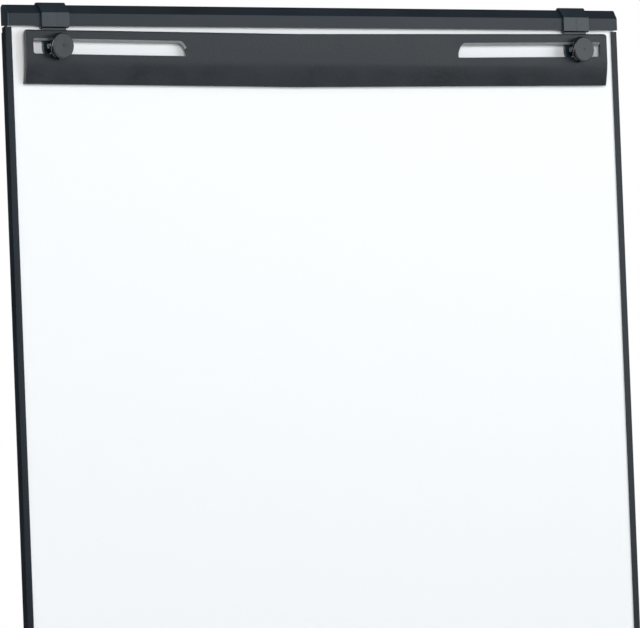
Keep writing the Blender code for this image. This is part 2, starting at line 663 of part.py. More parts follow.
def build_bar(board):
    """Clamp bar: bowed moulding with two bevelled slots."""
    carrier = empty("guide_clamp_bar", board, (0, 0, BAR_TOP_Z))
    half = BAR_LENGTH / 2
    section = bar_section()
    bm = bmesh.new()
    stations = []
    for step in range(BAR_STATIONS + 1):
        x = -half + BAR_LENGTH * step / BAR_STATIONS
        stations.append([bm.verts.new((x, y, z)) for y, z in section])
    for first, second in zip(stations, stations[1:]):
        for step in range(len(section)):
            after = (step + 1) % len(section)
            bm.faces.new((first[step], first[after], second[after], second[step]))
    bm.faces.new(stations[0])
    bm.faces.new(stations[-1])
    bar = mesh_object("clamp_bar", bm, carrier, "anthracite_plastic")
    for side in (-1, 1):
        front = [(side * x, z) for x, z in slot_ring(0)]
        rear = [(side * x, z) for x, z in slot_ring(SLOT_BEVEL)]
        cutter = bmesh.new()
        reach = 2 * MM
        rows = []
        levels = (
            (front, -BAR_FRONT - reach), (front, -BAR_FRONT),
            (rear, -BAR_REAR), (rear, -BAR_REAR + reach),
        )
        for ring, y in levels:
            rows.append([cutter.verts.new((x, y, z)) for x, z in ring])
        for first, second in zip(rows, rows[1:]):
            for step in range(len(first)):
                after = (step + 1) % len(first)
                cutter.faces.new((first[step], first[after], second[after], second[step]))
        cutter.faces.new(rows[0])
        cutter.faces.new(rows[-1])
        combine(bar, helper(cutter, carrier), "DIFFERENCE")
        corner = [(side * (half + MM), MM), (side * (half + MM), -BAR_CORNER)]
        rounding = arc((half - BAR_CORNER, -BAR_CORNER), BAR_CORNER, 0, 90, 5)
        corner += [(side * x, z) for x, z in rounding] + [(side * (half - BAR_CORNER), MM)]
        combine(bar, helper(prism([corner], "Y", -BAR_FRONT - MM, 0), carrier), "DIFFERENCE")
    for vertex in bar.data.vertices:
        vertex.co.z += bar_sag(vertex.co.x)


def leg_matrix(side):
    """Frame of a front leg in the board's frame."""
    place = Matrix.Translation((side * HEAD_LEG_X, LEG_PLANE, HEAD_LEG_Z))
    return place @ Matrix.Rotation(-side * LEG_SPLAY, 4, "Y")


def bracket_screw_places():
    """(x, z) of the bracket screws in the board's frame."""
    places = []
    for side in (-1, 1):
        for across in (-BRACKET_SCREW_X, BRACKET_SCREW_X):
            point = leg_matrix(side) @ Vector((across, 0, -BRACKET_DROP))
            places.append((point.x, point.z))
    return places


def build_head(board):
    """Moulded tripod head with sockets for the front legs and ears for the rear one."""
    plate = box((-HEAD_HALF_WIDTH, HEAD_FRONT_Y, HEAD_BASE), (HEAD_HALF_WIDTH, HEAD_REAR_Y, HEAD_TOP))
    head = mesh_object("tripod_head", plate, board, "black_plastic")
    for side in (-1, 1):
        post = turned([
            (0, SOCKET_ROOF), (SOCKET_RADIUS, SOCKET_ROOF),
            (SOCKET_RADIUS, -SOCKET_DEPTH), (0, -SOCKET_DEPTH),
        ])
        combine(head, helper(post, board, leg_matrix(side)), "UNION")
        ear = arc((HINGE_Y, HINGE_Z), EAR_RADIUS, -70, 70, 10)
        ear += [
            (HEAD_REAR_Y - MM, HINGE_Z + EAR_RADIUS + EAR_RISE),
            (HEAD_REAR_Y - MM, HINGE_Z - EAR_RADIUS - EAR_FALL),
        ]
        inner = EYE_HALF_WIDTH + GAP
        ends = sorted((side * inner, side * (inner + EAR_THICKNESS)))
        combine(head, helper(prism([ear], "X", *ends), board), "UNION")
    for side in (-1, 1):
        low = -SOCKET_DEPTH - MM
        bore = turned([(0, GAP), (BORE_RADIUS, GAP), (BORE_RADIUS, low), (0, low)])
        combine(head, helper(bore, board, leg_matrix(side)), "DIFFERENCE")
    pin_bore = prism([circle((HINGE_Y, HINGE_Z), PIN_RADIUS + GAP)], "X", -30 * MM, 30 * MM)
    combine(head, helper(pin_bore, board), "DIFFERENCE")
    for number, (x, z) in enumerate(HEAD_SCREWS, 1):
        hole = prism([circle((x, z), SCREW_RADIUS + GAP, 10)], "Y", HEAD_FRONT_Y - MM, HEAD_REAR_Y + MM)
        combine(head, helper(hole, board), "DIFFERENCE")
        rear_screw("head_screw_%d" % number, x, z, HEAD_REAR_Y + GAP, board)


def build_hinge(board):
    """Hinge bolt through the ears, with its nut."""
    reach = EYE_HALF_WIDTH + GAP + EAR_THICKNESS + GAP
    tip = reach + PIN_NUT + MM
    bolt = turned([
        (0, -reach - PIN_HEAD), (PIN_HEAD_RADIUS - 0.8 * MM, -reach - PIN_HEAD),
        (PIN_HEAD_RADIUS, -reach - 0.8 * PIN_HEAD), (PIN_HEAD_RADIUS, -reach),
        (PIN_RADIUS, -reach), (PIN_RADIUS, tip), (0, tip),
    ], 16)
    pin = mesh_object("hinge_bolt", bolt, board, "zinc_steel")
    turn = Matrix.Rotation(math.radians(90), 4, "Y")
    pin.matrix_local = Matrix.Translation((0, HINGE_Y, HINGE_Z)) @ turn
    ring = [circle((HINGE_Y, HINGE_Z), PIN_HEAD_RADIUS, 6), circle((HINGE_Y, HINGE_Z), PIN_RADIUS + GAP)]
    mesh_object("hinge_nut", prism(ring, "X", reach, reach + PIN_NUT), board, "zinc_steel")


def tube_shape(radius, wall, low, high):
    """Round tube between two heights."""
    bore = radius - wall
    return turned([(radius, high), (radius, low), (bore, low), (bore, high)], ROUND, True)


def build_collar(frame, name, tube_end, turn):
    """Clamp collar on the end of an outer tube, with the boss of its clamp screw."""
    high = tube_end + COLLAR_SLEEVE
    low = tube_end - COLLAR_NECK
    edge = 2.0 * MM
    collar = mesh_object("leg_collar_" + name, turned([
        (0, high), (COLLAR_RADIUS - edge, high), (COLLAR_RADIUS, high - edge),
        (COLLAR_RADIUS, low + edge), (COLLAR_RADIUS - edge, low), (0, low),
    ]), frame, "black_plastic")
    boss_z = tube_end - COLLAR_NECK / 2
    lay = Matrix.Rotation(math.radians(-90), 4, "X")
    aim = Matrix.Rotation(turn, 4, "Z") @ Matrix.Translation((0, 0, boss_z)) @ lay
    boss = turned([(0, 5 * MM), (BOSS_RADIUS, 5 * MM), (BOSS_RADIUS, BOSS_REACH), (0, BOSS_REACH)], 24)
    combine(collar, helper(boss, frame, aim), "UNION")
    bore = turned([
        (0, high + MM), (BORE_RADIUS, high + MM), (BORE_RADIUS, tube_end - GAP),
        (INNER_RADIUS + RUN_FIT, tube_end - GAP), (INNER_RADIUS + RUN_FIT, low - MM), (0, low - MM),
    ])
    combine(collar, helper(bore, frame), "DIFFERENCE")
    thread = LEG_SCREW_RADIUS + GAP
    hole = turned([(0, 2 * MM), (thread, 2 * MM), (thread, BOSS_REACH + MM), (0, BOSS_REACH + MM)], 12)
    combine(collar, helper(hole, frame, aim), "DIFFERENCE")
    tip = INNER_RADIUS + GAP
    seat = BOSS_REACH + RUN_FIT
    end = seat + LEG_KNOB_LENGTH
    lobe = LEG_KNOB_LOBE_DEPTH
    knob = mesh_object("leg_knob_" + name, turned([
        (0, tip), (LEG_SCREW_RADIUS, tip), (LEG_SCREW_RADIUS, seat),
        (BOSS_RADIUS, seat), (BOSS_RADIUS, seat + 2 * MM),
        (LEG_KNOB_RADIUS - MM, seat + 3 * MM, lobe), (LEG_KNOB_RADIUS, seat + 5 * MM, lobe),
        (LEG_KNOB_RADIUS, end - 2.5 * MM, lobe), (LEG_KNOB_RADIUS - 1.5 * MM, end - 0.6 * MM, lobe),
        (LEG_KNOB_RADIUS - 5 * MM, end, lobe / 2), (0, end),
    ], LEG_KNOB_ROUND, False, LEG_KNOB_LOBES), frame, "black_plastic")
    knob.matrix_local = aim


def build_inner_leg(frame, name, tube_end, reach):
    """Sliding inner tube, its glide bush and its rubber foot; the sole lies on the floor."""
    top = tube_end + INNER_OVERLAP
    bottom = -reach + FOOT_SOLE
    inside = INNER_RADIUS - TUBE_WALL
    mesh_object("inner_leg_" + name, tube_shape(INNER_RADIUS, TUBE_WALL, bottom, top), frame, "aluminium")
    bush_radius = TUBE_RADIUS - TUBE_WALL - GAP
    bush_top = top + BUSH_HEAD
    mesh_object("glide_bush_" + name, turned([
        (0, bush_top), (bush_radius - MM, bush_top), (bush_radius, bush_top - MM),
        (bush_radius, top + GAP), (inside - GAP, top + GAP),
        (inside - GAP, top - BUSH_LENGTH), (0, top - BUSH_LENGTH),
    ]), frame, "black_plastic")
    sleeve = INNER_RADIUS + GAP
    socket = bottom - GAP
    foot_top = -reach + FOOT_SLEEVE
    foot = turned([
        (0, -reach - FOOT_RADIUS), (FOOT_RADIUS, -reach - FOOT_RADIUS), (FOOT_RADIUS, foot_top - 3 * MM),
        (FOOT_RADIUS - 2 * MM, foot_top), (sleeve, foot_top), (sleeve, socket), (0, socket),
    ])
    bpy.context.view_layer.update()
    to_leg = frame.matrix_world.inverted()
    floor_normal = (to_leg.to_3x3() @ Vector((0, 0, 1))).normalized()
    floor_point = to_leg @ (frame.matrix_world @ Vector((0, 0, -reach)))
    geometry = foot.verts[:] + foot.edges[:] + foot.faces[:]
    cut = bmesh.ops.bisect_plane(
        foot, geom=geometry, plane_co=floor_point, plane_no=-floor_normal, clear_outer=True)
    rim = [item for item in cut["geom_cut"] if isinstance(item, bmesh.types.BMEdge)]
    bmesh.ops.edgeloop_fill(foot, edges=rim)
    mesh_object("foot_" + name, foot, frame, "rubber")


def build_front_leg(board, side, name, head_height):
    """Front leg: fixed outer tube, collar and the sliding inner leg."""
    frame = empty("guide_leg_" + name, board, (0, 0, 0))
    frame.matrix_local = leg_matrix(side)
    tube = tube_shape(TUBE_RADIUS, TUBE_WALL, -OUTER_LENGTH, 0)
    mesh_object("outer_leg_" + name, tube, frame, "aluminium")
    build_collar(frame, name, -OUTER_LENGTH, math.radians(-90) * side)
    reach = head_height / (math.cos(LEG_SPLAY) * math.cos(LEAN))
    build_inner_leg(frame, name, -OUTER_LENGTH, reach)
    block_back = HEAD_FRONT_Y - LEG_PLANE
    flange = box(
        (-BRACKET_HALF_WIDTH, block_back, -BRACKET_DROP - BRACKET_HALF_HEIGHT),
        (BRACKET_HALF_WIDTH, block_back + BRACKET_FLANGE, -BRACKET_DROP + BRACKET_HALF_HEIGHT),
    )
    bracket = mesh_object("leg_bracket_" + name, flange, frame, "black_plastic")
    saddle = arc((0, 0), SADDLE_RADIUS, 0, 180, 16)
    saddle += [(-SADDLE_RADIUS, block_back + MM), (SADDLE_RADIUS, block_back + MM)]
    low = -BRACKET_DROP - BRACKET_HALF_HEIGHT
    high = -BRACKET_DROP + BRACKET_HALF_HEIGHT
    combine(bracket, helper(prism([saddle], "Z", low, high), frame), "UNION")
    bore = prism([circle((0, 0), BORE_RADIUS, ROUND)], "Z", low - MM, high + MM)
    combine(bracket, helper(bore, frame), "DIFFERENCE")
    for across, place in ((-BRACKET_SCREW_X, "inner"), (BRACKET_SCREW_X, "outer")):
        point = frame.matrix_local @ Vector((across, 0, -BRACKET_DROP))
        hole = prism([circle((across, -BRACKET_DROP), SCREW_RADIUS + GAP, 10)], "Y", block_back - MM, 0)
        combine(bracket, helper(hole, frame), "DIFFERENCE")
        seat = HEAD_FRONT_Y + BRACKET_FLANGE + GAP
        rear_screw("bracket_screw_%s_%s" % (name, place), point.x, point.z, seat, board)


def build_rear_leg(board, hinge_height):
    """Rear leg on its hinge: eye fitting, outer tube, collar and the sliding inner leg."""
    frame = empty("guide_leg_rear", board, (0, HINGE_Y, HINGE_Z), (REAR_SPREAD + LEAN, 0, 0))
    tube_top = -EYE_TO_TUBE
    tube_end = -REAR_OUTER_LENGTH
    eye = prism([circle((0, 0), EAR_RADIUS, ROUND)], "X", -EYE_HALF_WIDTH, EYE_HALF_WIDTH)
    knuckle = mesh_object("rear_leg_knuckle", eye, frame, "black_plastic")
    plug = TUBE_RADIUS - TUBE_WALL - GAP
    neck = EYE_HALF_WIDTH - MM
    shank = turned([
        (0, 0), (neck, 0), (neck, tube_top + 9 * MM), (TUBE_RADIUS, tube_top + 4 * MM),
        (TUBE_RADIUS, tube_top + GAP), (plug, tube_top + GAP),
        (plug, tube_top - BUSH_LENGTH), (0, tube_top - BUSH_LENGTH),
    ])
    combine(knuckle, helper(shank, frame), "UNION")
    bore = prism([circle((0, 0), PIN_RADIUS + RUN_FIT)], "X", -20 * MM, 20 * MM)
    combine(knuckle, helper(bore, frame), "DIFFERENCE")
    tube = tube_shape(TUBE_RADIUS, TUBE_WALL, tube_end, tube_top)
    mesh_object("outer_leg_rear", tube, frame, "aluminium")
    build_collar(frame, "rear", tube_end, 0.0)
    build_inner_leg(frame, "rear", tube_end, hinge_height / math.cos(REAR_SPREAD))


def height_above_floor(y, z):
    """Height of a point of the board's frame above the floor."""
    return EDGE_HEIGHT + z * math.cos(LEAN) - y * math.sin(LEAN)


def center_over_origin(board):
    """Move the easel so that the middle of its bounding box stands over the origin."""
    bpy.context.view_layer.update()
    corners = []
    for item in bpy.context.scene.objects:
        if item.type == "MESH":
            corners += [item.matrix_world @ vertex.co for vertex in item.data.vertices]
    for axis in (0, 1):
        values = [corner[axis] for corner in corners]
        board.location[axis] -= (min(values) + max(values)) / 2
    board.location.z -= min(corner.z for corner in corners)


def main():
    for item in list(bpy.data.objects):
        bpy.data.objects.remove(item)
    board = empty("guide_board", None, (0, 0, EDGE_HEIGHT), (-LEAN, 0, 0))
    bpy.context.view_layer.update()
    build_panel(board)
    build_profiles(board)
    build_rail(board)
    build_tray(board)
    build_bar(board)
    for side, name in ((-1, "left"), (1, "right")):
        carrier = build_clip(board, side, name)
        build_knob(carrier, name)
        build_front_leg(board, side, name, height_above_floor(LEG_PLANE, HEAD_LEG_Z))
    build_head(board)
    build_hinge(board)
    build_rear_leg(board, height_above_floor(HINGE_Y, HINGE_Z))
    center_over_origin(board)


main()
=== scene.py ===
"""Looks of a tripod flipchart easel: finished pieces and materials around its fixed frame."""
import json
import math

import bmesh
import bpy
from mathutils import Matrix, Vector

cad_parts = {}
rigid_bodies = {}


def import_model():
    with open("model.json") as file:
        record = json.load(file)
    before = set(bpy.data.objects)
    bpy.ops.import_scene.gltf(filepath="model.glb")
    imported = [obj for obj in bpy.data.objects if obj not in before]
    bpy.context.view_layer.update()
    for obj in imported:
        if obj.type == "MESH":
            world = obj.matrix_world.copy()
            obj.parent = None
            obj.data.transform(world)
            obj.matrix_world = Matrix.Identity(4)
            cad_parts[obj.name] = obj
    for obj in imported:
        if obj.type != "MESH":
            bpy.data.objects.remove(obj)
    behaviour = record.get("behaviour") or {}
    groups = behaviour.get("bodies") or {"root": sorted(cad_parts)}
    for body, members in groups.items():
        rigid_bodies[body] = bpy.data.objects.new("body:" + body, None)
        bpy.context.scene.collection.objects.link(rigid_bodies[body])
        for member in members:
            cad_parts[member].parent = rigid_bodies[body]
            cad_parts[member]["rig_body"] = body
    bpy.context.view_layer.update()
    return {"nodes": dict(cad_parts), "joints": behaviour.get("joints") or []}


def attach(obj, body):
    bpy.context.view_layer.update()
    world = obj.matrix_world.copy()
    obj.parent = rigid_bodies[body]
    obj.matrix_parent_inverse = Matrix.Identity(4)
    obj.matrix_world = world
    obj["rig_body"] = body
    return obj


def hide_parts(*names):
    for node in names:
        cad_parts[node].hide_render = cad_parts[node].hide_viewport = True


bl_info = {
    "name": "Flipchart Easel",
    "version": (1, 0, 0),
    "blender": (4, 5, 0),
    "location": "View3D > Sidebar > Easel",
    "description": "Builds the finished pieces and materials of a flipchart easel",
    "category": "Add Mesh",
}

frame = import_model()
NODES = frame["nodes"]
JOINTS = {joint["name"]: joint for joint in frame["joints"]}
MM = 0.001
HANDS = ("left", "right")
LEGS = ("left", "right", "rear")

# The board's own frame: x to the right, y to the rear of the writing surface, z up along it.
OUTWARD = Vector(JOINTS["clamp_bar_opening"]["axis"]).normalized()
ACROSS = Vector((1, 0, 0))
UPWARD = ACROSS.cross(-OUTWARD).normalized()


def board_matrix():
    """Matrix from the board's frame, whose origin is on the lower edge, to the world."""
    turn = Matrix((ACROSS, -OUTWARD, UPWARD)).transposed()
    back = turn.transposed()
    sheet = min((back @ vertex.co).y for vertex in NODES["front_sheet"].data.vertices)
    edge = min((back @ vertex.co).z for vertex in NODES["side_profile_left"].data.vertices)
    return Matrix.Translation(turn @ Vector((0, sheet, edge))) @ turn.to_4x4()


BOARD = board_matrix()


# ---------------------------------------------------------------- materials

def srgb(code):
    """Linear colour of an sRGB hex value."""
    channels = []
    for start in (1, 3, 5):
        value = int(code[start:start + 2], 16) / 255
        channels.append(value / 12.92 if value <= 0.04045 else ((value + 0.055) / 1.055) ** 2.4)
    return (*channels, 1.0)


def add(tree, kind, inputs=None, **settings):
    """Node of a kind with its settings; an input is a value or the socket that feeds it."""
    made = tree.nodes.new(kind)
    for name, value in settings.items():
        setattr(made, name, value)
    for name, value in (inputs or {}).items():
        if isinstance(value, bpy.types.NodeSocket):
            tree.links.new(value, made.inputs[name])
        else:
            made.inputs[name].default_value = value
    return made


def start(name, color, roughness, metallic=0.0, **values):
    """New material with its Principled shader, and Object coordinates to draw patterns on."""
    made = bpy.data.materials.new(name)
    made.use_nodes = True
    made.diffuse_color = srgb(color)
    made.roughness = roughness
    made.metallic = metallic
    tree = made.node_tree
    tree.nodes.clear()
    settings = {"Base Color": srgb(color), "Roughness": roughness, "Metallic": metallic}
    for key, value in values.items():
        settings[key.replace("_", " ")] = value
    shader = add(tree, "ShaderNodeBsdfPrincipled", settings)
    add(tree, "ShaderNodeOutputMaterial", {"Surface": shader.outputs[0]})
    place = add(tree, "ShaderNodeTexCoord").outputs["Object"]
    return made, tree, shader, place


def feed(tree, shader, name, socket):
    """Link a pattern to an input of the shader."""
    tree.links.new(socket, shader.inputs[name])


def noise(tree, place, size, detail=2.0, **inputs):
    """Noise with a grain of that size, on coordinates in the same unit."""
    settings = {"Vector": place, "Scale": 1 / size, "Detail": detail, **inputs}
    return add(tree, "ShaderNodeTexNoise", settings).outputs[0]


def tint(tree, shader, pattern, dark, light, low=0.0, high=1.0):
    """Base colour from dark to light between two levels of a pattern."""
    color = add(tree, "ShaderNodeValToRGB", {"Fac": pattern})
    for element, level, code in zip(color.color_ramp.elements, (low, high), (dark, light)):
        element.position = level
        element.color = srgb(code)
    feed(tree, shader, "Base Color", color.outputs[0])


def levels(tree, pattern, low, high, first, last):
    """Value that goes from first to last between two levels of a pattern."""
    return add(tree, "ShaderNodeMapRange", {0: pattern, 1: low, 2: high, 3: first, 4: last}).outputs[0]


def relief(tree, shader, pattern, depth, strength=1.0):
    """Fine relief of a pattern, its depth in metres."""
    bump = add(tree, "ShaderNodeBump", {"Height": pattern, "Strength": strength, "Distance": depth})
    feed(tree, shader, "Normal", bump.outputs[0])


def moulded_grain(tree, shader, place, dark, light, low, high, grain, depth):
    """Spark-eroded mould texture: fine pits, with colour and gloss varying over them."""
    patch = 40 * MM
    least, most = 0.72, 1.28
    fine = noise(tree, place, grain, 3.0, Roughness=0.6)
    broad = noise(tree, place, patch)
    both = add(tree, "ShaderNodeMath", {0: fine, 1: broad}, operation="ADD").outputs[0]
    tint(tree, shader, levels(tree, both, least, most, 0.0, 1.0), dark, light)
    feed(tree, shader, "Roughness", levels(tree, both, least, most, low, high))
    relief(tree, shader, fine, depth)


def white_lacquered_steel():
    """White lacquered steel sheet, coil coated: hard gloss with a faint orange peel."""
    made, tree, shader, place = start("white_lacquered_steel", "#f7f8f8", 0.2, IOR=1.5)
    peel = noise(tree, place, 7 * MM, 1.0)
    wiped = noise(tree, place, 90 * MM, 3.0)
    feed(tree, shader, "Roughness", levels(tree, wiped, 0.3, 0.7, 0.17, 0.24))
    tint(tree, shader, levels(tree, wiped, 0.3, 0.7, 0.0, 1.0), "#faf8f3", "#fdfbf6")
    relief(tree, shader, peel, 0.01 * MM, 0.3)
    return made


def raw_hardboard():
    """Hardboard, pressed wood fibre: brown felted fibres, dull."""
    made, tree, shader, place = start("raw_hardboard", "#85735f", 0.85, IOR=1.45)
    fibre = noise(tree, place, 1.5 * MM, 5.0, Distortion=2.0)
    tint(tree, shader, fibre, "#6f5f50", "#988674")
    relief(tree, shader, fibre, 0.1 * MM)
    return made


def grey_backing_lacquer():
    """Thin steel backing with a matt grey service lacquer: even, low sheen, faint roller lines."""
    made, tree, shader, place = start("grey_backing_lacquer", "#a3a6a9", 0.5, IOR=1.5)
    stretch = (1 / (3 * MM), 1, 1 / (200 * MM))
    lines = add(tree, "ShaderNodeMapping", {"Vector": place, "Scale": stretch})
    rolled = noise(tree, lines.outputs[0], 1.0, 4.0)
    tint(tree, shader, rolled, "#9c9fa3", "#abaeb0")
    feed(tree, shader, "Roughness", levels(tree, rolled, 0.0, 1.0, 0.42, 0.58))
    relief(tree, shader, rolled, 0.02 * MM)
    return made


def powder_coat(name, dark, light, low, high, peel, ior=1.5):
    """Powder-coated aluminium extrusion: satin skin with a fine orange peel."""
    made, tree, shader, place = start(name, light, low, IOR=ior)
    skin = noise(tree, place, peel)
    broad = noise(tree, place, 60 * MM)
    tint(tree, shader, broad, dark, light, 0.3, 0.7)
    feed(tree, shader, "Roughness", levels(tree, broad, 0.3, 0.7, low, high))
    relief(tree, shader, skin, 0.02 * MM, 0.5)
    return made


def textured_abs(name, dark, light, low, high, grain, depth=0.05 * MM, skin=0.0):
    """Moulded ABS with a fine mould texture: dull speckle, soft highlights and, with a skin, crisp ones."""
    made, tree, shader, place = start(name, light, low, IOR=1.58, Coat_Weight=skin, Coat_Roughness=0.1)
    moulded_grain(tree, shader, place, dark, light, low, high, grain, depth)
    return made


def anodised_aluminium():
    """Anodised aluminium tube, drawn and satin etched: fine lines along the tube."""
    made, tree, shader, _ = start("anodised_aluminium", "#d3d5d7", 0.34, 1.0)
    along = add(tree, "ShaderNodeUVMap", uv_map="unrolled").outputs[0]
    stretch = (1 / (0.5 * MM), 1 / (160 * MM), 1)
    lines = add(tree, "ShaderNodeMapping", {"Vector": along, "Scale": stretch})
    drawn = noise(tree, lines.outputs[0], 1.0, 3.0)
    tint(tree, shader, drawn, "#c6c9cc", "#dddfe0", 0.25, 0.75)
    feed(tree, shader, "Roughness", levels(tree, drawn, 0.25, 0.75, 0.3, 0.37))
    relief(tree, shader, drawn, 0.003 * MM, 0.3)
    return made


def zinc_plated_steel(name, dark, light):
    """Zinc-plated steel, passivated bright or black: even metal with faint cloudy patches."""
    made, tree, shader, place = start(name, light, 0.3, 1.0)
    cloud = noise(tree, place, 2.5 * MM, 4.0)
    tint(tree, shader, cloud, dark, light)
    feed(tree, shader, "Roughness", levels(tree, cloud, 0.3, 0.7, 0.22, 0.42))
    relief(tree, shader, cloud, 0.02 * MM, 0.3)
    return made


def black_rubber():
    """Moulded natural rubber: matt black with a dusty bloom."""
    made, tree, shader, place = start("black_rubber", "#232324", 0.8, IOR=1.5)
    moulded_grain(tree, shader, place, "#1c1c1d", "#2d2d2e", 0.7, 0.9, 0.8 * MM, 0.06 * MM)
    return made


# ---------------------------------------------------------------- mesh helpers

WELD = 0.002 * MM
FLAT = math.radians(0.6)
SHARP = math.radians(40)


def link(name, mesh):
    """New object at the origin with a mesh whose place is in its vertices."""
    made = bpy.data.objects.new(name, mesh)
    bpy.context.scene.collection.objects.link(made)
    return made


def realise(item):
    """Turn an object's modifiers into its mesh."""
    bpy.context.view_layer.update()
    result = bpy.data.meshes.new_from_object(item.evaluated_get(bpy.context.evaluated_depsgraph_get()))
    result.name = item.name
    item.modifiers.clear()
    item.data = result
    return item


def copy_of(node, name):
    """Object with a merged copy of a CAD node's mesh, its flat faces whole again."""
    bm = bmesh.new()
    bm.from_mesh(NODES[node].data)
    bmesh.ops.remove_doubles(bm, verts=bm.verts, dist=WELD)
    bmesh.ops.dissolve_limit(bm, angle_limit=FLAT, verts=bm.verts, edges=bm.edges)
    mesh = bpy.data.meshes.new(name)
    bm.to_mesh(mesh)
    bm.free()
    return link(name, mesh)


def soften(item, width, segments=2, angle=28):
    """Round an object's edges and shade its faces smooth.

    The bevel narrows all over a mesh to what its shortest edge leaves room for. On the rail,
    the tripod head and the screws that is too narrow to see, and their edges stay sharp.
    """
    bevel = item.modifiers.new("edges", "BEVEL")
    bevel.width = width
    bevel.segments = segments
    bevel.limit_method = "ANGLE"
    bevel.angle_limit = math.radians(angle)
    item.data.shade_smooth()
    normals = item.modifiers.new("normals", "WEIGHTED_NORMAL")
    normals.keep_sharp = True
    return realise(item)


def settle(item, material, nodes):
    """Give a piece its material, put it on its nodes' body and let it stand for those nodes."""
    item.data.materials.clear()
    item.data.materials.append(material)
    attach(item, NODES[nodes[0]]["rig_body"])
    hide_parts(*nodes)
    return item


def dress(node, material):
    """Give a CAD node whose shape is right its material."""
    NODES[node].data.materials.clear()
    NODES[node].data.materials.append(material)


def softened_copy(node, material, width, segments=2, angle=28):
    """Piece that stands for one CAD node, with rounded edges."""
    return settle(soften(copy_of(node, node + "_finished"), width, segments, angle), material, [node])


def axis_frame(joint):
    """Matrix whose z axis is a joint's axis, at the joint's place."""
    axis = Vector(JOINTS[joint]["axis"]).normalized()
    return Matrix.Translation(JOINTS[joint]["pos_m"]) @ axis.to_track_quat("Z", "Y").to_matrix().to_4x4()


def measured(node, matrix):
    """Lowest and highest z, and largest radius, of a CAD node seen in a frame."""
    back = matrix.inverted()
    points = [back @ vertex.co for vertex in NODES[node].data.vertices]
    return min(p.z for p in points), max(p.z for p in points), max(math.hypot(p.x, p.y) for p in points)


def lathe(name, profile, segments, matrix, outline=None, closed=False):
    """Turned piece. A profile point is (radius, height, share of the outline's depth).

    The UV map unrolls the surface in metres: around, then along the profile.
    """
    bm = bmesh.new()
    layer = bm.loops.layers.uv.new("unrolled")
    rings, lengths = [], [0.0]
    for index, point in enumerate(profile):
        radius, height = point[0], point[1]
        share = point[2] if len(point) > 2 else 0.0
        if index:
            last = profile[index - 1]
            lengths.append(lengths[-1] + math.hypot(radius - last[0], height - last[1]))
        if radius == 0:
            rings.append([bm.verts.new(matrix @ Vector((0, 0, height)))])
            continue
        ring = []
        for step in range(segments):
            angle = 2 * math.pi * step / segments
            reach = radius - (share * outline(angle) if outline and share else 0.0)
            place = Vector((reach * math.cos(angle), reach * math.sin(angle), height))
            ring.append(bm.verts.new(matrix @ place))
        rings.append(ring)
    size = max(point[0] for point in profile)
    pairs = list(zip(range(len(rings)), range(1, len(rings))))
    if closed:
        pairs.append((len(rings) - 1, 0))
    for low, high in pairs:
        first, second = rings[low], rings[high]
        for step in range(segments):
            after = (step + 1) % segments
            if len(first) == 1:
                corners = ((first[0], 0.5, low), (second[step], 0, high), (second[after], 1, high))
            elif len(second) == 1:
                corners = ((first[step], 0, low), (second[0], 0.5, high), (first[after], 1, low))
            else:
                corners = ((first[step], 0, low), (second[step], 0, high),
                           (second[after], 1, high), (first[after], 1, low))
            face = bm.faces.new([corner[0] for corner in corners])
            for loop, corner in zip(face.loops, corners):
                loop[layer].uv = ((step + corner[1]) * 2 * math.pi * size / segments, lengths[corner[2]])
    bmesh.ops.recalc_face_normals(bm, faces=bm.faces)
    mesh = bpy.data.meshes.new(name)
    bm.to_mesh(mesh)
    bm.free()
    mesh.shade_smooth()
    mesh.set_sharp_from_angle(angle=SHARP)
    item = link(name, mesh)
    normals = item.modifiers.new("normals", "WEIGHTED_NORMAL")
    normals.keep_sharp = True
    return realise(item)


def fillet(radius, height, size, quarter, steps=5, share=0.0):
    """Profile points of a rounded outer corner: quarter 0 turns from the base, 1 into the top."""
    points = []
    for step in range(steps + 1):
        angle = math.radians(90 * step / steps)
        sine, cosine = size * math.sin(angle), size * math.cos(angle)
        if quarter:
            points.append((radius - size + cosine, height - size + sine, share))
        else:
            points.append((radius - size + sine, height + size - cosine, share))
    return points


def node_group(name, *sockets):
    """Empty geometry node tree with a geometry in and out and named inputs for its sizes."""
    tree = bpy.data.node_groups.new(name, "GeometryNodeTree")
    tree.interface.new_socket("Geometry", in_out="INPUT", socket_type="NodeSocketGeometry")
    for label, kind, default in sockets:
        made = tree.interface.new_socket(label, in_out="INPUT", socket_type=kind)
        if default is not None:
            made.default_value = default
    tree.interface.new_socket("Geometry", in_out="OUTPUT", socket_type="NodeSocketGeometry")
    return tree, add(tree, "NodeGroupInput"), add(tree, "NodeGroupOutput")


def finish_tree(tree, out, geometry, material, smooth=True):
    """Make instances real, shade them and give them their material."""
    made = add(tree, "GeometryNodeRealizeInstances", {"Geometry": geometry})
    if smooth:
        made = add(tree, "GeometryNodeSetShadeSmooth", {"Geometry": made.outputs[0]})
    painted = add(tree, "GeometryNodeSetMaterial", {"Geometry": made.outputs[0], "Material": material})
    tree.links.new(painted.outputs[0], out.inputs[0])


def put_on_piece(tree, given, out, details, material):
    """Turn and move details to the tree's place, and join them to the piece it runs on."""
    moved = add(tree, "GeometryNodeTransform", {
        "Geometry": details, "Translation": given.outputs["Place"], "Rotation": given.outputs["Turn"]})
    joined = add(tree, "GeometryNodeJoinGeometry", {"Geometry": moved.outputs[0]})
    tree.links.new(given.outputs["Geometry"], joined.inputs[0])
    finish_tree(tree, out, joined.outputs[0], material)


def grow(item, tree, **values):
    """Run a geometry node tree on an object with its inputs set, and keep the result as a mesh."""
    modifier = item.modifiers.new(tree.name, "NODES")
    modifier.node_group = tree
    keys = {}
    for socket in tree.interface.items_tree:
        if socket.item_type == "SOCKET" and socket.in_out == "INPUT":
            keys[socket.name.lower().replace(" ", "_")] = socket.identifier
    for name, value in values.items():
        modifier[keys[name]] = value
    return realise(item)


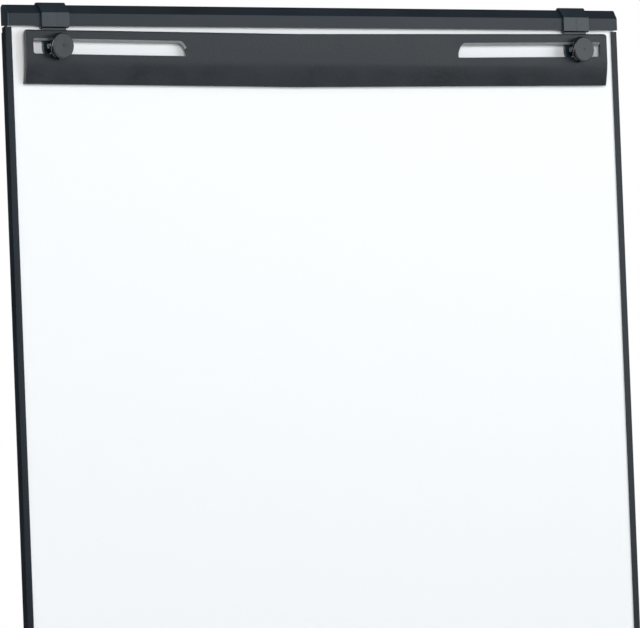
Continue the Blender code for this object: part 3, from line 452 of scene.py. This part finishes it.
# ---------------------------------------------------------------- settings

class EaselShape(bpy.types.PropertyGroup):
    """Sizes of the finished details."""
    plate_edge: bpy.props.FloatProperty(
        name="Profile edge", description="Rounding of the edge profiles", default=0.35 * MM, unit="LENGTH")
    rail_edge: bpy.props.FloatProperty(
        name="Rail edge", description="Rounding of the rail's long edges", default=0.55 * MM, unit="LENGTH")
    cap_edge: bpy.props.FloatProperty(
        name="Cap edge", description="Rounding of the end caps", default=1.0 * MM, unit="LENGTH")
    bar_edge: bpy.props.FloatProperty(
        name="Clamp bar edge", description="Rounding of the clamp bar and its slots",
        default=0.4 * MM, unit="LENGTH")
    clip_edge: bpy.props.FloatProperty(
        name="Clip edge", description="Rounding of the sliding clips", default=0.75 * MM, unit="LENGTH")
    seam_depth: bpy.props.FloatProperty(
        name="Clip seam depth", description="Depth of the seam down the clip's middle",
        default=0.14 * MM, unit="LENGTH")
    knob_lobes: bpy.props.IntProperty(
        name="Knob lobes", description="Grip lobes on the clamp knobs' skirts", default=8, min=3)
    knob_groove: bpy.props.FloatProperty(
        name="Knob groove", description="Depth of the grooves between the lobes",
        default=3.0 * MM, unit="LENGTH")
    collar_ribs: bpy.props.IntProperty(
        name="Collar ribs", description="Grip ribs around each leg collar", default=20, min=3)
    foot_grooves: bpy.props.IntProperty(
        name="Foot rings", description="Raised rings around each rubber foot", default=4, min=1)


class EaselColors(bpy.types.PropertyGroup):
    """Colours of the finishes, as sRGB hex values."""
    profile: bpy.props.StringProperty(
        name="Profile", description="Powder coat of the edge profiles", default="#081722")
    rail: bpy.props.StringProperty(
        name="Rail", description="Powder coat of the rail and tray", default="#19232c")
    bar: bpy.props.StringProperty(
        name="Clamp bar", description="Textured plastic of the clamp bar", default="#1e252c")
    clip: bpy.props.StringProperty(
        name="Clips", description="Plastic of the clips and caps", default="#1b2a33")
    knob: bpy.props.StringProperty(
        name="Knobs", description="Plastic of the clamp knobs", default="#161e25")


class EaselStage(bpy.types.PropertyGroup):
    """Camera and light of the stage."""
    yaw: bpy.props.FloatProperty(
        name="Camera yaw", description="Angle to the left of straight ahead",
        default=math.radians(33.54), subtype="ANGLE")
    pitch: bpy.props.FloatProperty(
        name="Camera pitch", description="Angle under the horizon",
        default=math.radians(1.67), subtype="ANGLE")
    distance: bpy.props.FloatProperty(
        name="Camera distance", description="From the aim point", default=6.5, unit="LENGTH")
    lens: bpy.props.FloatProperty(
        name="Lens", description="Focal length on a 36 mm sensor", default=383.4, min=1.0)
    sky: bpy.props.FloatProperty(
        name="Ambient light", description="Strength of the studio's even light", default=0.42, min=0.0)
    key: bpy.props.FloatProperty(
        name="Key light", description="Power of the softbox on the right, in watts", default=48.0, min=0.0)
    front: bpy.props.FloatProperty(
        name="Front light", description="Power of the softbox over the camera, in watts",
        default=126.0, min=0.0)
    side: bpy.props.FloatProperty(
        name="Side light", description="Power of the narrow lamp on the left, in watts",
        default=20.0, min=0.0)


class EaselPiece:
    """Shared parts of the operators."""
    bl_options = {"REGISTER", "UNDO"}

    def finish(self, name):
        """Material of that name, made once."""
        found = bpy.data.materials.get(name)
        if found:
            return found
        colors = bpy.context.scene.easel_colors
        makers = {
            "white_lacquered_steel": white_lacquered_steel,
            "raw_hardboard": raw_hardboard,
            "grey_backing_lacquer": grey_backing_lacquer,
            # Near-black blue coat on the slim profiles: satin, holds long soft highlights.
            "navy_powder_coat": lambda: powder_coat(
                name, "#050f18", colors.profile, 0.2, 0.27, 1.2 * MM, 1.42),
            # Anthracite coat of the rail and tray: slightly duller.
            "anthracite_powder_coat": lambda: powder_coat(
                name, "#151d25", colors.rail, 0.28, 0.36, 1.0 * MM),
            # Bar moulding: a sandy speckle. A mould's grain is too fine to show, so it is drawn
            # as coarse as it needs to show.
            "textured_bar_abs": lambda: textured_abs(
                name, "#11161b", colors.bar, 0.34, 0.48, 2.0 * MM, 0.14 * MM),
            # Clip and cap mouldings: finer texture, a little glossier.
            "fine_clip_abs": lambda: textured_abs(
                name, "#16222a", colors.clip, 0.26, 0.34, 0.7 * MM, 0.03 * MM, 0.24),
            # Clamp knobs: near-smooth mould, clear highlights on the lobes.
            "smooth_knob_abs": lambda: textured_abs(
                name, "#0d1318", colors.knob, 0.13, 0.19, 0.6 * MM, 0.02 * MM, 0.12),
            # Glass-filled nylon of head, collars and brackets: black and dull.
            "black_nylon": lambda: textured_abs(name, "#1d1e20", "#292b2d", 0.42, 0.58, 1.0 * MM),
            # Chamfer over the slots: pale grey painted on, a painted reflection of the white board that the
            # dark chamfer mirrors at a grazing angle; slightly streaked.
            "bare_slot_chamfer": lambda: textured_abs(name, "#8b8f92", "#a3a6a8", 0.3, 0.4, 1.5 * MM),
            "anodised_aluminium": anodised_aluminium,
            # Screws, hinge bolt and nut: bright silvery plating.
            "zinc_plated_steel": lambda: zinc_plated_steel(name, "#b1b6bd", "#d2d4d2"),
            # Studs and washers of the clamp: black passivated, dark metal in the knobs' shade.
            "black_zinc_steel": lambda: zinc_plated_steel(name, "#26282b", "#36383b"),
            "black_rubber": black_rubber,
        }
        return makers[name]()


# ---------------------------------------------------------------- board

class EASEL_OT_board(EaselPiece, bpy.types.Operator):
    """Writing sheet, core, backing and the edge profiles"""
    bl_idname = "easel.board"
    bl_label = "Board"

    def execute(self, context):
        shape = context.scene.easel_shape
        dress("front_sheet", self.finish("white_lacquered_steel"))
        dress("core_panel", self.finish("raw_hardboard"))
        dress("rear_sheet", self.finish("grey_backing_lacquer"))
        coat = self.finish("navy_powder_coat")
        for node in ("side_profile_left", "side_profile_right", "bottom_profile"):
            softened_copy(node, coat, shape.plate_edge)
        return {"FINISHED"}


class EASEL_OT_rail(EaselPiece, bpy.types.Operator):
    """Top rail and its end caps"""
    bl_idname = "easel.rail"
    bl_label = "Top rail"

    def execute(self, context):
        shape = context.scene.easel_shape
        softened_copy("top_rail", self.finish("anthracite_powder_coat"), shape.rail_edge, 3)
        for hand in HANDS:
            softened_copy("rail_end_cap_" + hand, self.finish("fine_clip_abs"), shape.cap_edge, 3, 20)
        return {"FINISHED"}


class EASEL_OT_tray(EaselPiece, bpy.types.Operator):
    """Pen tray and its end caps"""
    bl_idname = "easel.tray"
    bl_label = "Pen tray"

    def execute(self, context):
        edge = 0.4 * MM
        softened_copy("pen_tray", self.finish("anthracite_powder_coat"), edge)
        for hand in HANDS:
            softened_copy("tray_end_cap_" + hand, self.finish("fine_clip_abs"), edge)
        return {"FINISHED"}


# ---------------------------------------------------------------- clamp

class EASEL_OT_clamp_bar(EaselPiece, bpy.types.Operator):
    """Bowed clamp bar; the chamfer along the top of its slots is painted pale grey, a painted reflection of
    the white board
    """
    bl_idname = "easel.clamp_bar"
    bl_label = "Clamp bar"

    def execute(self, context):
        shape = context.scene.easel_shape
        # Where the chamfers are: how far under the bar's top, and from its middle.
        least, most = 6 * MM, 16 * MM
        inner_end = 150 * MM
        item = copy_of("clamp_bar", "clamp_bar_finished")
        back = BOARD.inverted()
        turn = back.to_3x3()
        top = max((back @ vertex.co).z for vertex in item.data.vertices)
        chamfers = []
        for face in item.data.polygons:
            middle = back @ face.center
            facing = turn @ face.normal
            within = least < top - middle.z < most and abs(middle.x) > inner_end
            if within and facing.z < -0.3 and facing.y < 0.8:
                # These chamfer faces get the second material: pale grey painted on as a painted reflection
                # of the white board.
                face.material_index = 1
                chamfers.append(face.index)
        if not chamfers:
            raise RuntimeError("the clamp bar has no chamfer over its slots")
        soften(item, shape.bar_edge, 3, 24)
        indexes = [face.material_index for face in item.data.polygons]
        settle(item, self.finish("textured_bar_abs"), ["clamp_bar"])
        # Second material: the pale grey painted reflection on the slot chamfers.
        item.data.materials.append(self.finish("bare_slot_chamfer"))
        item.data.polygons.foreach_set("material_index", indexes)
        return {"FINISHED"}


def cut_seam(item, depth):
    """Narrow V-shaped seam down the middle of a clip's outer faces."""
    half_width = 0.35 * MM
    skin = 0.2 * MM
    tolerance = 0.02 * MM
    back = BOARD.inverted()
    bm = bmesh.new()
    bm.from_mesh(item.data)
    places = [back @ vertex.co for vertex in bm.verts]
    middle = (min(p.x for p in places) + max(p.x for p in places)) / 2
    front = min(p.y for p in places)
    top = max(p.z for p in places)
    for offset in (-half_width, 0.0, half_width):
        geometry = bm.verts[:] + bm.edges[:] + bm.faces[:]
        bmesh.ops.bisect_plane(
            bm, geom=geometry, plane_co=(middle + offset, 0, 0), plane_no=ACROSS, dist=1e-7)
    for vertex in bm.verts:
        place = back @ vertex.co
        if abs(place.x - middle) > tolerance:
            continue
        if place.y < front + skin:
            vertex.co -= OUTWARD * depth
        elif place.z > top - skin:
            vertex.co -= UPWARD * depth
    bm.to_mesh(item.data)
    bm.free()


class EASEL_OT_clips(EaselPiece, bpy.types.Operator):
    """Sliding clips with the studs they hold"""
    bl_idname = "easel.clips"
    bl_label = "Clips and studs"

    def execute(self, context):
        shape = context.scene.easel_shape
        for hand in HANDS:
            item = copy_of("clip_" + hand, "clip_" + hand + "_finished")
            cut_seam(item, shape.seam_depth)
            settle(soften(item, shape.clip_edge, 3), self.finish("fine_clip_abs"), ["clip_" + hand])
            softened_copy("stud_" + hand, self.finish("black_zinc_steel"), 0.25 * MM)
        return {"FINISHED"}


def lobed_outline(lobes, depth):
    """Depth of the grooves between wide, flat-topped lobes at an angle."""
    flat = 0.42

    def outline(angle):
        wave = 0.5 - 0.5 * math.cos(lobes * angle)
        groove = max(0.0, (wave - flat) / (1 - flat))
        return depth * groove * groove * (3 - 2 * groove)
    return outline


class EASEL_OT_clamp_knobs(EaselPiece, bpy.types.Operator):
    """Clamp knobs with a smooth face over a lobed skirt, and their washers"""
    bl_idname = "easel.clamp_knobs"
    bl_label = "Clamp knobs"

    def execute(self, context):
        shape = context.scene.easel_shape
        bore, bore_depth = 3.4 * MM, 6.9 * MM
        skirt_height = 5.2 * MM
        face_inset = 0.7 * MM
        outline = lobed_outline(shape.knob_lobes, shape.knob_groove)
        for hand in HANDS:
            node = "clamp_knob_" + hand
            place = axis_frame("knob_turn_" + hand)
            base, top, radius = measured(node, place)
            # Bottom to top: bore for the stud, grooved skirt, then the face on a narrow neck.
            face = radius - face_inset
            skirt_top = base + skirt_height
            dish = top - 0.2 * MM
            profile = [(0, base + bore_depth), (bore, base + bore_depth), (bore, base)]
            profile += [(radius - 1.0 * MM, base, 1.0)]
            profile += fillet(radius, base, 0.8 * MM, 0, 4, 1.0)
            profile += fillet(radius, skirt_top, 1.0 * MM, 1, 4, 1.0)
            profile += [(face - 1.1 * MM, skirt_top + 0.02 * MM)]
            profile += fillet(face, skirt_top + 0.1 * MM, 0.9 * MM, 0, 4)
            profile += fillet(face, top, 1.1 * MM, 1, 7)
            profile += [(face * 0.6, top - 0.02 * MM), (1.2 * MM, top - 0.04 * MM), (0.95 * MM, dish)]
            profile += [(0.55 * MM, dish), (0.4 * MM, top - 0.05 * MM), (0, top - 0.05 * MM)]
            finished = lathe(node + "_finished", profile, 240, place, outline)
            settle(finished, self.finish("smooth_knob_abs"), [node])
            softened_copy("knob_washer_" + hand, self.finish("black_zinc_steel"), 0.15 * MM)
        return {"FINISHED"}


# ---------------------------------------------------------------- tripod

def tube_frame(node, direction):
    """Matrix whose z axis is a tube's axis, at the middle of a CAD node's mesh."""
    points = [vertex.co for vertex in NODES[node].data.vertices]
    middle = sum(points, Vector()) / len(points)
    axis = Vector(direction).normalized()
    return Matrix.Translation(middle) @ axis.to_track_quat("Z", "Y").to_matrix().to_4x4()


def leg_axis(leg):
    """Direction in which a leg gets longer."""
    return JOINTS["leg_extension_" + leg]["axis"]


class EASEL_OT_tubes(EaselPiece, bpy.types.Operator):
    """Outer and inner leg tubes"""
    bl_idname = "easel.tubes"
    bl_label = "Leg tubes"

    def execute(self, context):
        edge = 0.25 * MM
        wall = 1.2 * MM
        steps = 12
        for leg in LEGS:
            for kind in ("outer_leg_", "inner_leg_"):
                node = kind + leg
                place = tube_frame(node, leg_axis(leg))
                low, high, radius = measured(node, place)
                bore = radius - wall
                inset = radius - edge
                profile = [(bore, low + edge), (bore + edge, low), (inset, low), (radius, low + edge)]
                for step in range(1, steps):
                    profile.append((radius, low + edge + (high - low - 2 * edge) * step / steps))
                profile += [(radius, high - edge), (inset, high), (bore + edge, high), (bore, high - edge)]
                tube = lathe(node + "_finished", profile, 64, place, None, True)
                settle(tube, self.finish("anodised_aluminium"), [node])
            dress("glide_bush_" + leg, self.finish("black_nylon"))
        return {"FINISHED"}


class EASEL_OT_head(EaselPiece, bpy.types.Operator):
    """Tripod head with the rear leg's knuckle, hinge bolt and nut"""
    bl_idname = "easel.head"
    bl_label = "Tripod head"

    def execute(self, context):
        nylon = self.finish("black_nylon")
        softened_copy("tripod_head", nylon, 0.8 * MM)
        softened_copy("rear_leg_knuckle", nylon, 0.6 * MM)
        for node in ("hinge_bolt", "hinge_nut"):
            softened_copy(node, self.finish("zinc_plated_steel"), 0.3 * MM)
        for hand in HANDS:
            softened_copy("leg_bracket_" + hand, nylon, 0.7 * MM)
        return {"FINISHED"}


def rib_tree(material):
    """Ribs set around a tube: instances on a circle, laid along the tube's axis."""
    tree, given, out = node_group(
        "grip_ribs", ("Count", "NodeSocketInt", 20), ("Radius", "NodeSocketFloat", 17 * MM),
        ("Width", "NodeSocketFloat", 1.6 * MM), ("Length", "NodeSocketFloat", 20 * MM),
        ("Height", "NodeSocketFloat", 0.6 * MM), ("Place", "NodeSocketVector", None),
        ("Turn", "NodeSocketRotation", None), ("First Angle", "NodeSocketFloat", 0.0))
    circle = add(tree, "GeometryNodeMeshCircle", {
        "Vertices": given.outputs["Count"], "Radius": given.outputs["Radius"]})
    rib = add(tree, "GeometryNodeMeshUVSphere", {"Segments": 10, "Rings": 8, "Radius": 1.0})
    size = add(tree, "ShaderNodeCombineXYZ", {
        "X": given.outputs["Height"], "Y": given.outputs["Width"], "Z": given.outputs["Length"]})
    shaped = add(tree, "GeometryNodeTransform", {
        "Geometry": rib.outputs["Mesh"], "Scale": size.outputs[0]})
    place = add(tree, "GeometryNodeInputPosition").outputs[0]
    aim = add(tree, "FunctionNodeAlignRotationToVector", {"Vector": place}, axis="X", pivot_axis="Z")
    around = add(tree, "GeometryNodeInstanceOnPoints", {
        "Points": circle.outputs[0], "Instance": shaped.outputs[0], "Rotation": aim.outputs[0]})
    spin = add(tree, "ShaderNodeCombineXYZ", {"Z": given.outputs["First Angle"]})
    twist = add(tree, "FunctionNodeEulerToRotation", {"Euler": spin.outputs[0]})
    twisted = add(tree, "GeometryNodeTransform", {
        "Geometry": around.outputs[0], "Rotation": twist.outputs[0]})
    put_on_piece(tree, given, out, twisted.outputs[0], material)
    return tree


class EASEL_OT_collars(EaselPiece, bpy.types.Operator):
    """Clamp collars with grip ribs around the sleeve"""
    bl_idname = "easel.collars"
    bl_label = "Leg collars"

    def execute(self, context):
        shape = context.scene.easel_shape
        nylon = self.finish("black_nylon")
        tree = rib_tree(nylon)
        sleeve_wall = 4.5 * MM
        sunk = 0.1 * MM
        rise = 2 * MM
        for leg in LEGS:
            node = "leg_collar_" + leg
            place = tube_frame("outer_leg_" + leg, leg_axis(leg))
            low = measured(node, place)[0]
            _, tube_end, tube = measured("outer_leg_" + leg, place)
            item = soften(copy_of(node, node + "_finished"), 0.5 * MM)
            spot = place @ Vector((0, 0, (low + tube_end) / 2 - rise))
            grow(item, tree, count=shape.collar_ribs, radius=tube + sleeve_wall - sunk, width=0.9 * MM,
                 length=11 * MM, height=0.7 * MM, place=spot, turn=place.to_euler(), first_angle=0.12)
            settle(item, nylon, [node])
        return {"FINISHED"}


class EASEL_OT_leg_knobs(EaselPiece, bpy.types.Operator):
    """Five-lobed knobs of the leg clamps"""
    bl_idname = "easel.leg_knobs"
    bl_label = "Leg knobs"

    def execute(self, context):
        lobes, groove = 5, 3.6 * MM
        screw, hub = 3.0 * MM, 8.5 * MM
        head = 15 * MM

        def outline(angle):
            return groove * (0.5 - 0.5 * math.cos(lobes * angle)) ** 2

        for leg in LEGS:
            node = "leg_knob_" + leg
            place = axis_frame("leg_knob_turn_" + leg)
            tip, end, radius = measured(node, place)
            seat = end - head
            profile = [(0, tip), (screw - 0.4 * MM, tip), (screw, tip + 0.4 * MM), (screw, seat)]
            profile += [(hub - 0.3 * MM, seat), (hub, seat + 0.3 * MM), (hub, seat + 2.2 * MM)]
            profile += [(10 * MM, seat + 2.6 * MM, 0.3)]
            profile += fillet(radius, seat + 2.8 * MM, 2.2 * MM, 0, 5, 1.0)
            profile += fillet(radius, end - 0.2 * MM, 3.0 * MM, 1, 6, 1.0)
            dish = end - 0.4 * MM
            profile += [(radius - 5 * MM, end, 0.6), (7 * MM, end), (6.6 * MM, dish), (0, dish)]
            finished = lathe(node + "_finished", profile, 160, place, outline)
            settle(finished, self.finish("black_nylon"), [node])
        return {"FINISHED"}


def ring_tree(material):
    """Raised rings along a foot: instances on a line, each a curve swept with a small round."""
    tree, given, out = node_group(
        "foot_rings", ("Count", "NodeSocketInt", 4), ("Radius", "NodeSocketFloat", 15 * MM),
        ("Thickness", "NodeSocketFloat", 0.8 * MM), ("Spacing", "NodeSocketFloat", 5 * MM),
        ("Place", "NodeSocketVector", None), ("Turn", "NodeSocketRotation", None))
    step = add(tree, "ShaderNodeCombineXYZ", {"Z": given.outputs["Spacing"]})
    line = add(tree, "GeometryNodeMeshLine", {"Count": given.outputs["Count"], "Offset": step.outputs[0]})
    path = add(tree, "GeometryNodeCurvePrimitiveCircle", {
        "Resolution": 64, "Radius": given.outputs["Radius"]})
    bead = add(tree, "GeometryNodeCurvePrimitiveCircle", {
        "Resolution": 8, "Radius": given.outputs["Thickness"]})
    ring = add(tree, "GeometryNodeCurveToMesh", {
        "Curve": path.outputs[0], "Profile Curve": bead.outputs[0]})
    rings = add(tree, "GeometryNodeInstanceOnPoints", {
        "Points": line.outputs[0], "Instance": ring.outputs[0]})
    put_on_piece(tree, given, out, rings.outputs[0], material)
    return tree


class EASEL_OT_feet(EaselPiece, bpy.types.Operator):
    """Rubber feet with raised rings"""
    bl_idname = "easel.feet"
    bl_label = "Feet"

    def execute(self, context):
        shape = context.scene.easel_shape
        rubber = self.finish("black_rubber")
        tree = ring_tree(rubber)
        for leg in LEGS:
            node = "foot_" + leg
            place = tube_frame("inner_leg_" + leg, leg_axis(leg))
            low, _, radius = measured(node, place)
            item = soften(copy_of(node, node + "_finished"), 0.5 * MM)
            spot = place @ Vector((0, 0, low + 6 * MM))
            grow(item, tree, count=shape.foot_grooves, radius=radius - 0.35 * MM, thickness=0.75 * MM,
                 spacing=4.6 * MM, place=spot, turn=place.to_euler())
            settle(item, rubber, [node])
        return {"FINISHED"}


# ---------------------------------------------------------------- screws

SCREW_HEAD = 2.6 * MM


def screw_tree(material):
    """Pan-head screws with a cross recess, one on each point, turned by a random angle."""
    tree, given, out = node_group(
        "pan_head_screws", ("Head Radius", "NodeSocketFloat", 4 * MM),
        ("Head Height", "NodeSocketFloat", SCREW_HEAD),
        ("Recess Width", "NodeSocketFloat", 0.9 * MM), ("Recess Reach", "NodeSocketFloat", 4.4 * MM),
        ("Shank Radius", "NodeSocketFloat", 1.7 * MM), ("Shank Length", "NodeSocketFloat", 9 * MM),
        ("Seed", "NodeSocketInt", 4))
    dome = add(tree, "GeometryNodeMeshUVSphere", {"Segments": 40, "Rings": 20, "Radius": 1.0})
    dome_size = add(tree, "ShaderNodeCombineXYZ", {
        "X": given.outputs["Head Radius"], "Y": given.outputs["Head Radius"],
        "Z": given.outputs["Head Height"]})
    dome = add(tree, "GeometryNodeTransform", {
        "Geometry": dome.outputs["Mesh"], "Scale": dome_size.outputs[0]})
    block = 20 * MM
    below = add(tree, "GeometryNodeMeshCube", {"Size": (block, block, block)})
    below = add(tree, "GeometryNodeTransform", {
        "Geometry": below.outputs["Mesh"], "Translation": (0, 0, -block / 2)})
    arm = add(tree, "ShaderNodeCombineXYZ", {
        "X": given.outputs["Recess Reach"], "Y": given.outputs["Recess Width"],
        "Z": given.outputs["Head Height"]})
    first = add(tree, "GeometryNodeMeshCube", {"Size": arm.outputs[0]})
    lift = add(tree, "ShaderNodeCombineXYZ", {"Z": given.outputs["Head Height"]})
    first = add(tree, "GeometryNodeTransform", {
        "Geometry": first.outputs["Mesh"], "Translation": lift.outputs[0]})
    second = add(tree, "GeometryNodeTransform", {
        "Geometry": first.outputs[0], "Rotation": (0, 0, math.radians(90))})
    head = add(tree, "GeometryNodeMeshBoolean", {"Mesh 1": dome.outputs[0]}, operation="DIFFERENCE")
    for cutter in (below, first, second):
        tree.links.new(cutter.outputs[0], head.inputs["Mesh 2"])
    sunk = add(tree, "ShaderNodeMath", {0: given.outputs["Shank Length"], 1: -0.5}, operation="MULTIPLY")
    down = add(tree, "ShaderNodeCombineXYZ", {"Z": sunk.outputs[0]})
    shank = add(tree, "GeometryNodeMeshCylinder", {
        "Vertices": 20, "Radius": given.outputs["Shank Radius"], "Depth": given.outputs["Shank Length"]})
    shank = add(tree, "GeometryNodeTransform", {
        "Geometry": shank.outputs["Mesh"], "Translation": down.outputs[0]})
    screw = add(tree, "GeometryNodeJoinGeometry", {"Geometry": head.outputs[0]})
    tree.links.new(shank.outputs[0], screw.inputs[0])
    heading = add(tree, "GeometryNodeInputNamedAttribute", {"Name": "heading"}, data_type="FLOAT_VECTOR")
    aim = add(tree, "FunctionNodeAlignRotationToVector", {"Vector": heading.outputs[0]}, axis="Z")
    spin = add(tree, "FunctionNodeRandomValue", {
        2: 0.0, 3: math.radians(90), "Seed": given.outputs["Seed"]})
    around = add(tree, "ShaderNodeCombineXYZ", {"Z": spin.outputs[1]})
    local = add(tree, "FunctionNodeEulerToRotation", {"Euler": around.outputs[0]})
    turned = add(tree, "FunctionNodeRotateRotation", {
        "Rotation": aim.outputs[0], "Rotate By": local.outputs[0]}, rotation_space="LOCAL")
    placed = add(tree, "GeometryNodeInstanceOnPoints", {
        "Points": given.outputs["Geometry"], "Instance": screw.outputs[0], "Rotation": turned.outputs[0]})
    finish_tree(tree, out, placed.outputs[0], material, smooth=False)
    return tree


class EASEL_OT_screws(EaselPiece, bpy.types.Operator):
    """Pan-head screws of the head, the brackets and the tray"""
    bl_idname = "easel.screws"
    bl_label = "Screws"

    def execute(self, context):
        nodes = sorted(name for name in NODES if "_screw_" in name)
        if not nodes:
            raise RuntimeError("the frame has no screws")
        back = BOARD.inverted()
        places, headings = [], []
        for node in nodes:
            points = [back @ vertex.co for vertex in NODES[node].data.vertices]
            middle = sum(points, Vector()) / len(points)
            lowest, highest = min(p.y for p in points), max(p.y for p in points)
            toward_front = node.startswith("tray")
            seat = lowest + SCREW_HEAD if toward_front else highest - SCREW_HEAD
            places.append(BOARD @ Vector((middle.x, seat, middle.z)))
            headings.append(OUTWARD if toward_front else -OUTWARD)
        mesh = bpy.data.meshes.new("pan_head_screws")
        mesh.from_pydata([tuple(place) for place in places], [], [])
        mesh.attributes.new("heading", "FLOAT_VECTOR", "POINT")
        mesh.attributes["heading"].data.foreach_set("vector", [value for way in headings for value in way])
        zinc = self.finish("zinc_plated_steel")
        item = grow(link("pan_head_screws", mesh), screw_tree(zinc), seed=4)
        settle(soften(item, 0.12 * MM, 2, 35), zinc, nodes)
        return {"FINISHED"}


# ---------------------------------------------------------------- stage

class EASEL_OT_stage(EaselPiece, bpy.types.Operator):
    """Pale floor, even white surroundings, soft lights and the camera"""
    bl_idname = "easel.stage"
    bl_label = "Stage"

    def execute(self, context):
        stage = context.scene.easel_stage
        self.build_floor()
        self.build_world(stage)
        key = self.build_lamp("key_softbox", stage.key, 3.4, 2.6, (3.25, -3.3, 2.65))
        key.diffuse_factor = 0.35
        key.color = (0.91, 0.965, 1.0)
        self.build_lamp("front_softbox", stage.front, 2.4, 2.0, (-1.74, -4.3, 3.4))
        self.build_lamp("side_strip", stage.side, 0.4, 2.4, (-4.2, -1.5, 2.5))
        self.build_camera(stage)
        return {"FINISHED"}

    def build_floor(self):
        """Plain pale floor that keeps the shadow and fades to white away from it."""
        fade_start, fade_end = 0.7, 3.0
        near_glow = 0.16
        bm = bmesh.new()
        bmesh.ops.create_circle(bm, cap_ends=True, segments=96, radius=3.6)
        mesh = bpy.data.meshes.new("floor")
        bm.to_mesh(mesh)
        bm.free()
        floor = link("floor", mesh)
        made, tree, shader, place = start("pale_floor", "#f2f2f2", 0.7)
        seen = add(tree, "ShaderNodeLightPath").outputs["Is Camera Ray"]
        far = add(tree, "ShaderNodeVectorMath", {0: place}, operation="LENGTH").outputs["Value"]
        glow = levels(tree, far, fade_start, fade_end, near_glow, 1.0)
        lift = add(tree, "ShaderNodeMath", {0: seen, 1: glow}, operation="MULTIPLY").outputs[0]
        shader.inputs["Emission Color"].default_value = (1, 1, 1, 1)
        feed(tree, shader, "Emission Strength", lift)
        mesh.materials.append(made)

    def build_world(self, stage):
        """Even studio light, before a backdrop that is white to the camera, metal and glass.

        A mirror direction away from the backdrop meets the dim studio instead.
        """
        world = bpy.data.worlds.new("studio")
        bpy.context.scene.world = world
        world.use_nodes = True
        tree = world.node_tree
        tree.nodes.clear()
        path = add(tree, "ShaderNodeLightPath")
        way = add(tree, "ShaderNodeTexCoord").outputs["Generated"]
        behind = (math.sin(stage.yaw), math.cos(stage.yaw), 0)
        facing = add(tree, "ShaderNodeVectorMath", {0: way, 1: behind}, operation="DOT_PRODUCT")
        dim_studio = 0.1
        mirrored = levels(tree, facing.outputs["Value"], 0.5, 0.9, dim_studio, 1.0)
        even = add(tree, "ShaderNodeMix", {
            "Factor": path.outputs["Is Glossy Ray"], "A": stage.sky, "B": mirrored})
        seen = add(tree, "ShaderNodeMath", {
            0: path.outputs["Is Camera Ray"], 1: path.outputs["Is Transmission Ray"]}, operation="MAXIMUM")
        level = add(tree, "ShaderNodeMix", {"Factor": seen.outputs[0], "A": even.outputs[0], "B": 1.0})
        light = add(tree, "ShaderNodeBackground", {"Color": (1, 1, 1, 1), "Strength": level.outputs[0]})
        add(tree, "ShaderNodeOutputWorld", {"Surface": light.outputs[0]})

    def build_lamp(self, name, power, width, height, place):
        """Soft rectangular lamp aimed at the upper part of the board."""
        light = bpy.data.lights.new(name, "AREA")
        light.shape = "RECTANGLE"
        light.size = width
        light.size_y = height
        light.energy = power
        lamp = bpy.data.objects.new(name, light)
        bpy.context.scene.collection.objects.link(lamp)
        lamp.location = place
        lit_point = Vector((0, -0.2, 1.5))
        aim = lit_point - Vector(place)
        lamp.rotation_euler = aim.to_track_quat("-Z", "Y").to_euler()
        lamp.visible_camera = False
        return light

    def build_camera(self, stage):
        """Camera on the upper half of the board, from the left."""
        view = bpy.data.cameras.new("camera")
        camera = bpy.data.objects.new("camera", view)
        bpy.context.scene.collection.objects.link(camera)
        bpy.context.scene.camera = camera
        level = math.cos(stage.pitch)
        forward = Vector((math.sin(stage.yaw) * level, math.cos(stage.yaw) * level, -math.sin(stage.pitch)))
        aim = BOARD @ Vector((0, 0, 0.7))
        aim.x = -12.0 * MM
        aim.z = 1555.2 * MM
        camera.location = aim - forward * stage.distance
        camera.rotation_euler = (math.radians(90) - stage.pitch, 0, -stage.yaw)
        view.sensor_width = 36
        view.lens = stage.lens
        view.clip_end = 60


# ---------------------------------------------------------------- panel and start

PIECES = (
    EASEL_OT_board, EASEL_OT_rail, EASEL_OT_tray, EASEL_OT_clamp_bar, EASEL_OT_clips, EASEL_OT_clamp_knobs,
    EASEL_OT_tubes, EASEL_OT_head, EASEL_OT_collars, EASEL_OT_leg_knobs, EASEL_OT_feet, EASEL_OT_screws,
    EASEL_OT_stage,
)


class EASEL_PT_panel(bpy.types.Panel):
    """Settings and steps of the easel"""
    bl_label = "Easel"
    bl_idname = "EASEL_PT_panel"
    bl_space_type = "VIEW_3D"
    bl_region_type = "UI"
    bl_category = "Easel"

    def draw(self, context):
        for group in (context.scene.easel_shape, context.scene.easel_colors, context.scene.easel_stage):
            box = self.layout.box()
            for name in type(group).__annotations__:
                box.prop(group, name)
        for piece in PIECES:
            self.layout.operator(piece.bl_idname)


GROUPS = (("easel_shape", EaselShape), ("easel_colors", EaselColors), ("easel_stage", EaselStage))


def register():
    """Register the settings, operators and panel."""
    for name, group in GROUPS:
        bpy.utils.register_class(group)
        setattr(bpy.types.Scene, name, bpy.props.PointerProperty(type=group))
    for item in PIECES + (EASEL_PT_panel,):
        bpy.utils.register_class(item)


def unregister():
    """Take the settings, operators and panel out again."""
    for item in reversed(PIECES + (EASEL_PT_panel,)):
        bpy.utils.unregister_class(item)
    for name, group in reversed(GROUPS):
        delattr(bpy.types.Scene, name)
        bpy.utils.unregister_class(group)


def main():
    """Register the add-on, then build every piece and the stage."""
    register()
    bpy.context.scene.view_settings.view_transform = "Standard"
    for piece in PIECES:
        area, name = piece.bl_idname.split(".")
        if getattr(getattr(bpy.ops, area), name)() != {"FINISHED"}:
            raise RuntimeError(piece.bl_label + " wasn't finished")


if __name__ == "__main__":
    main()
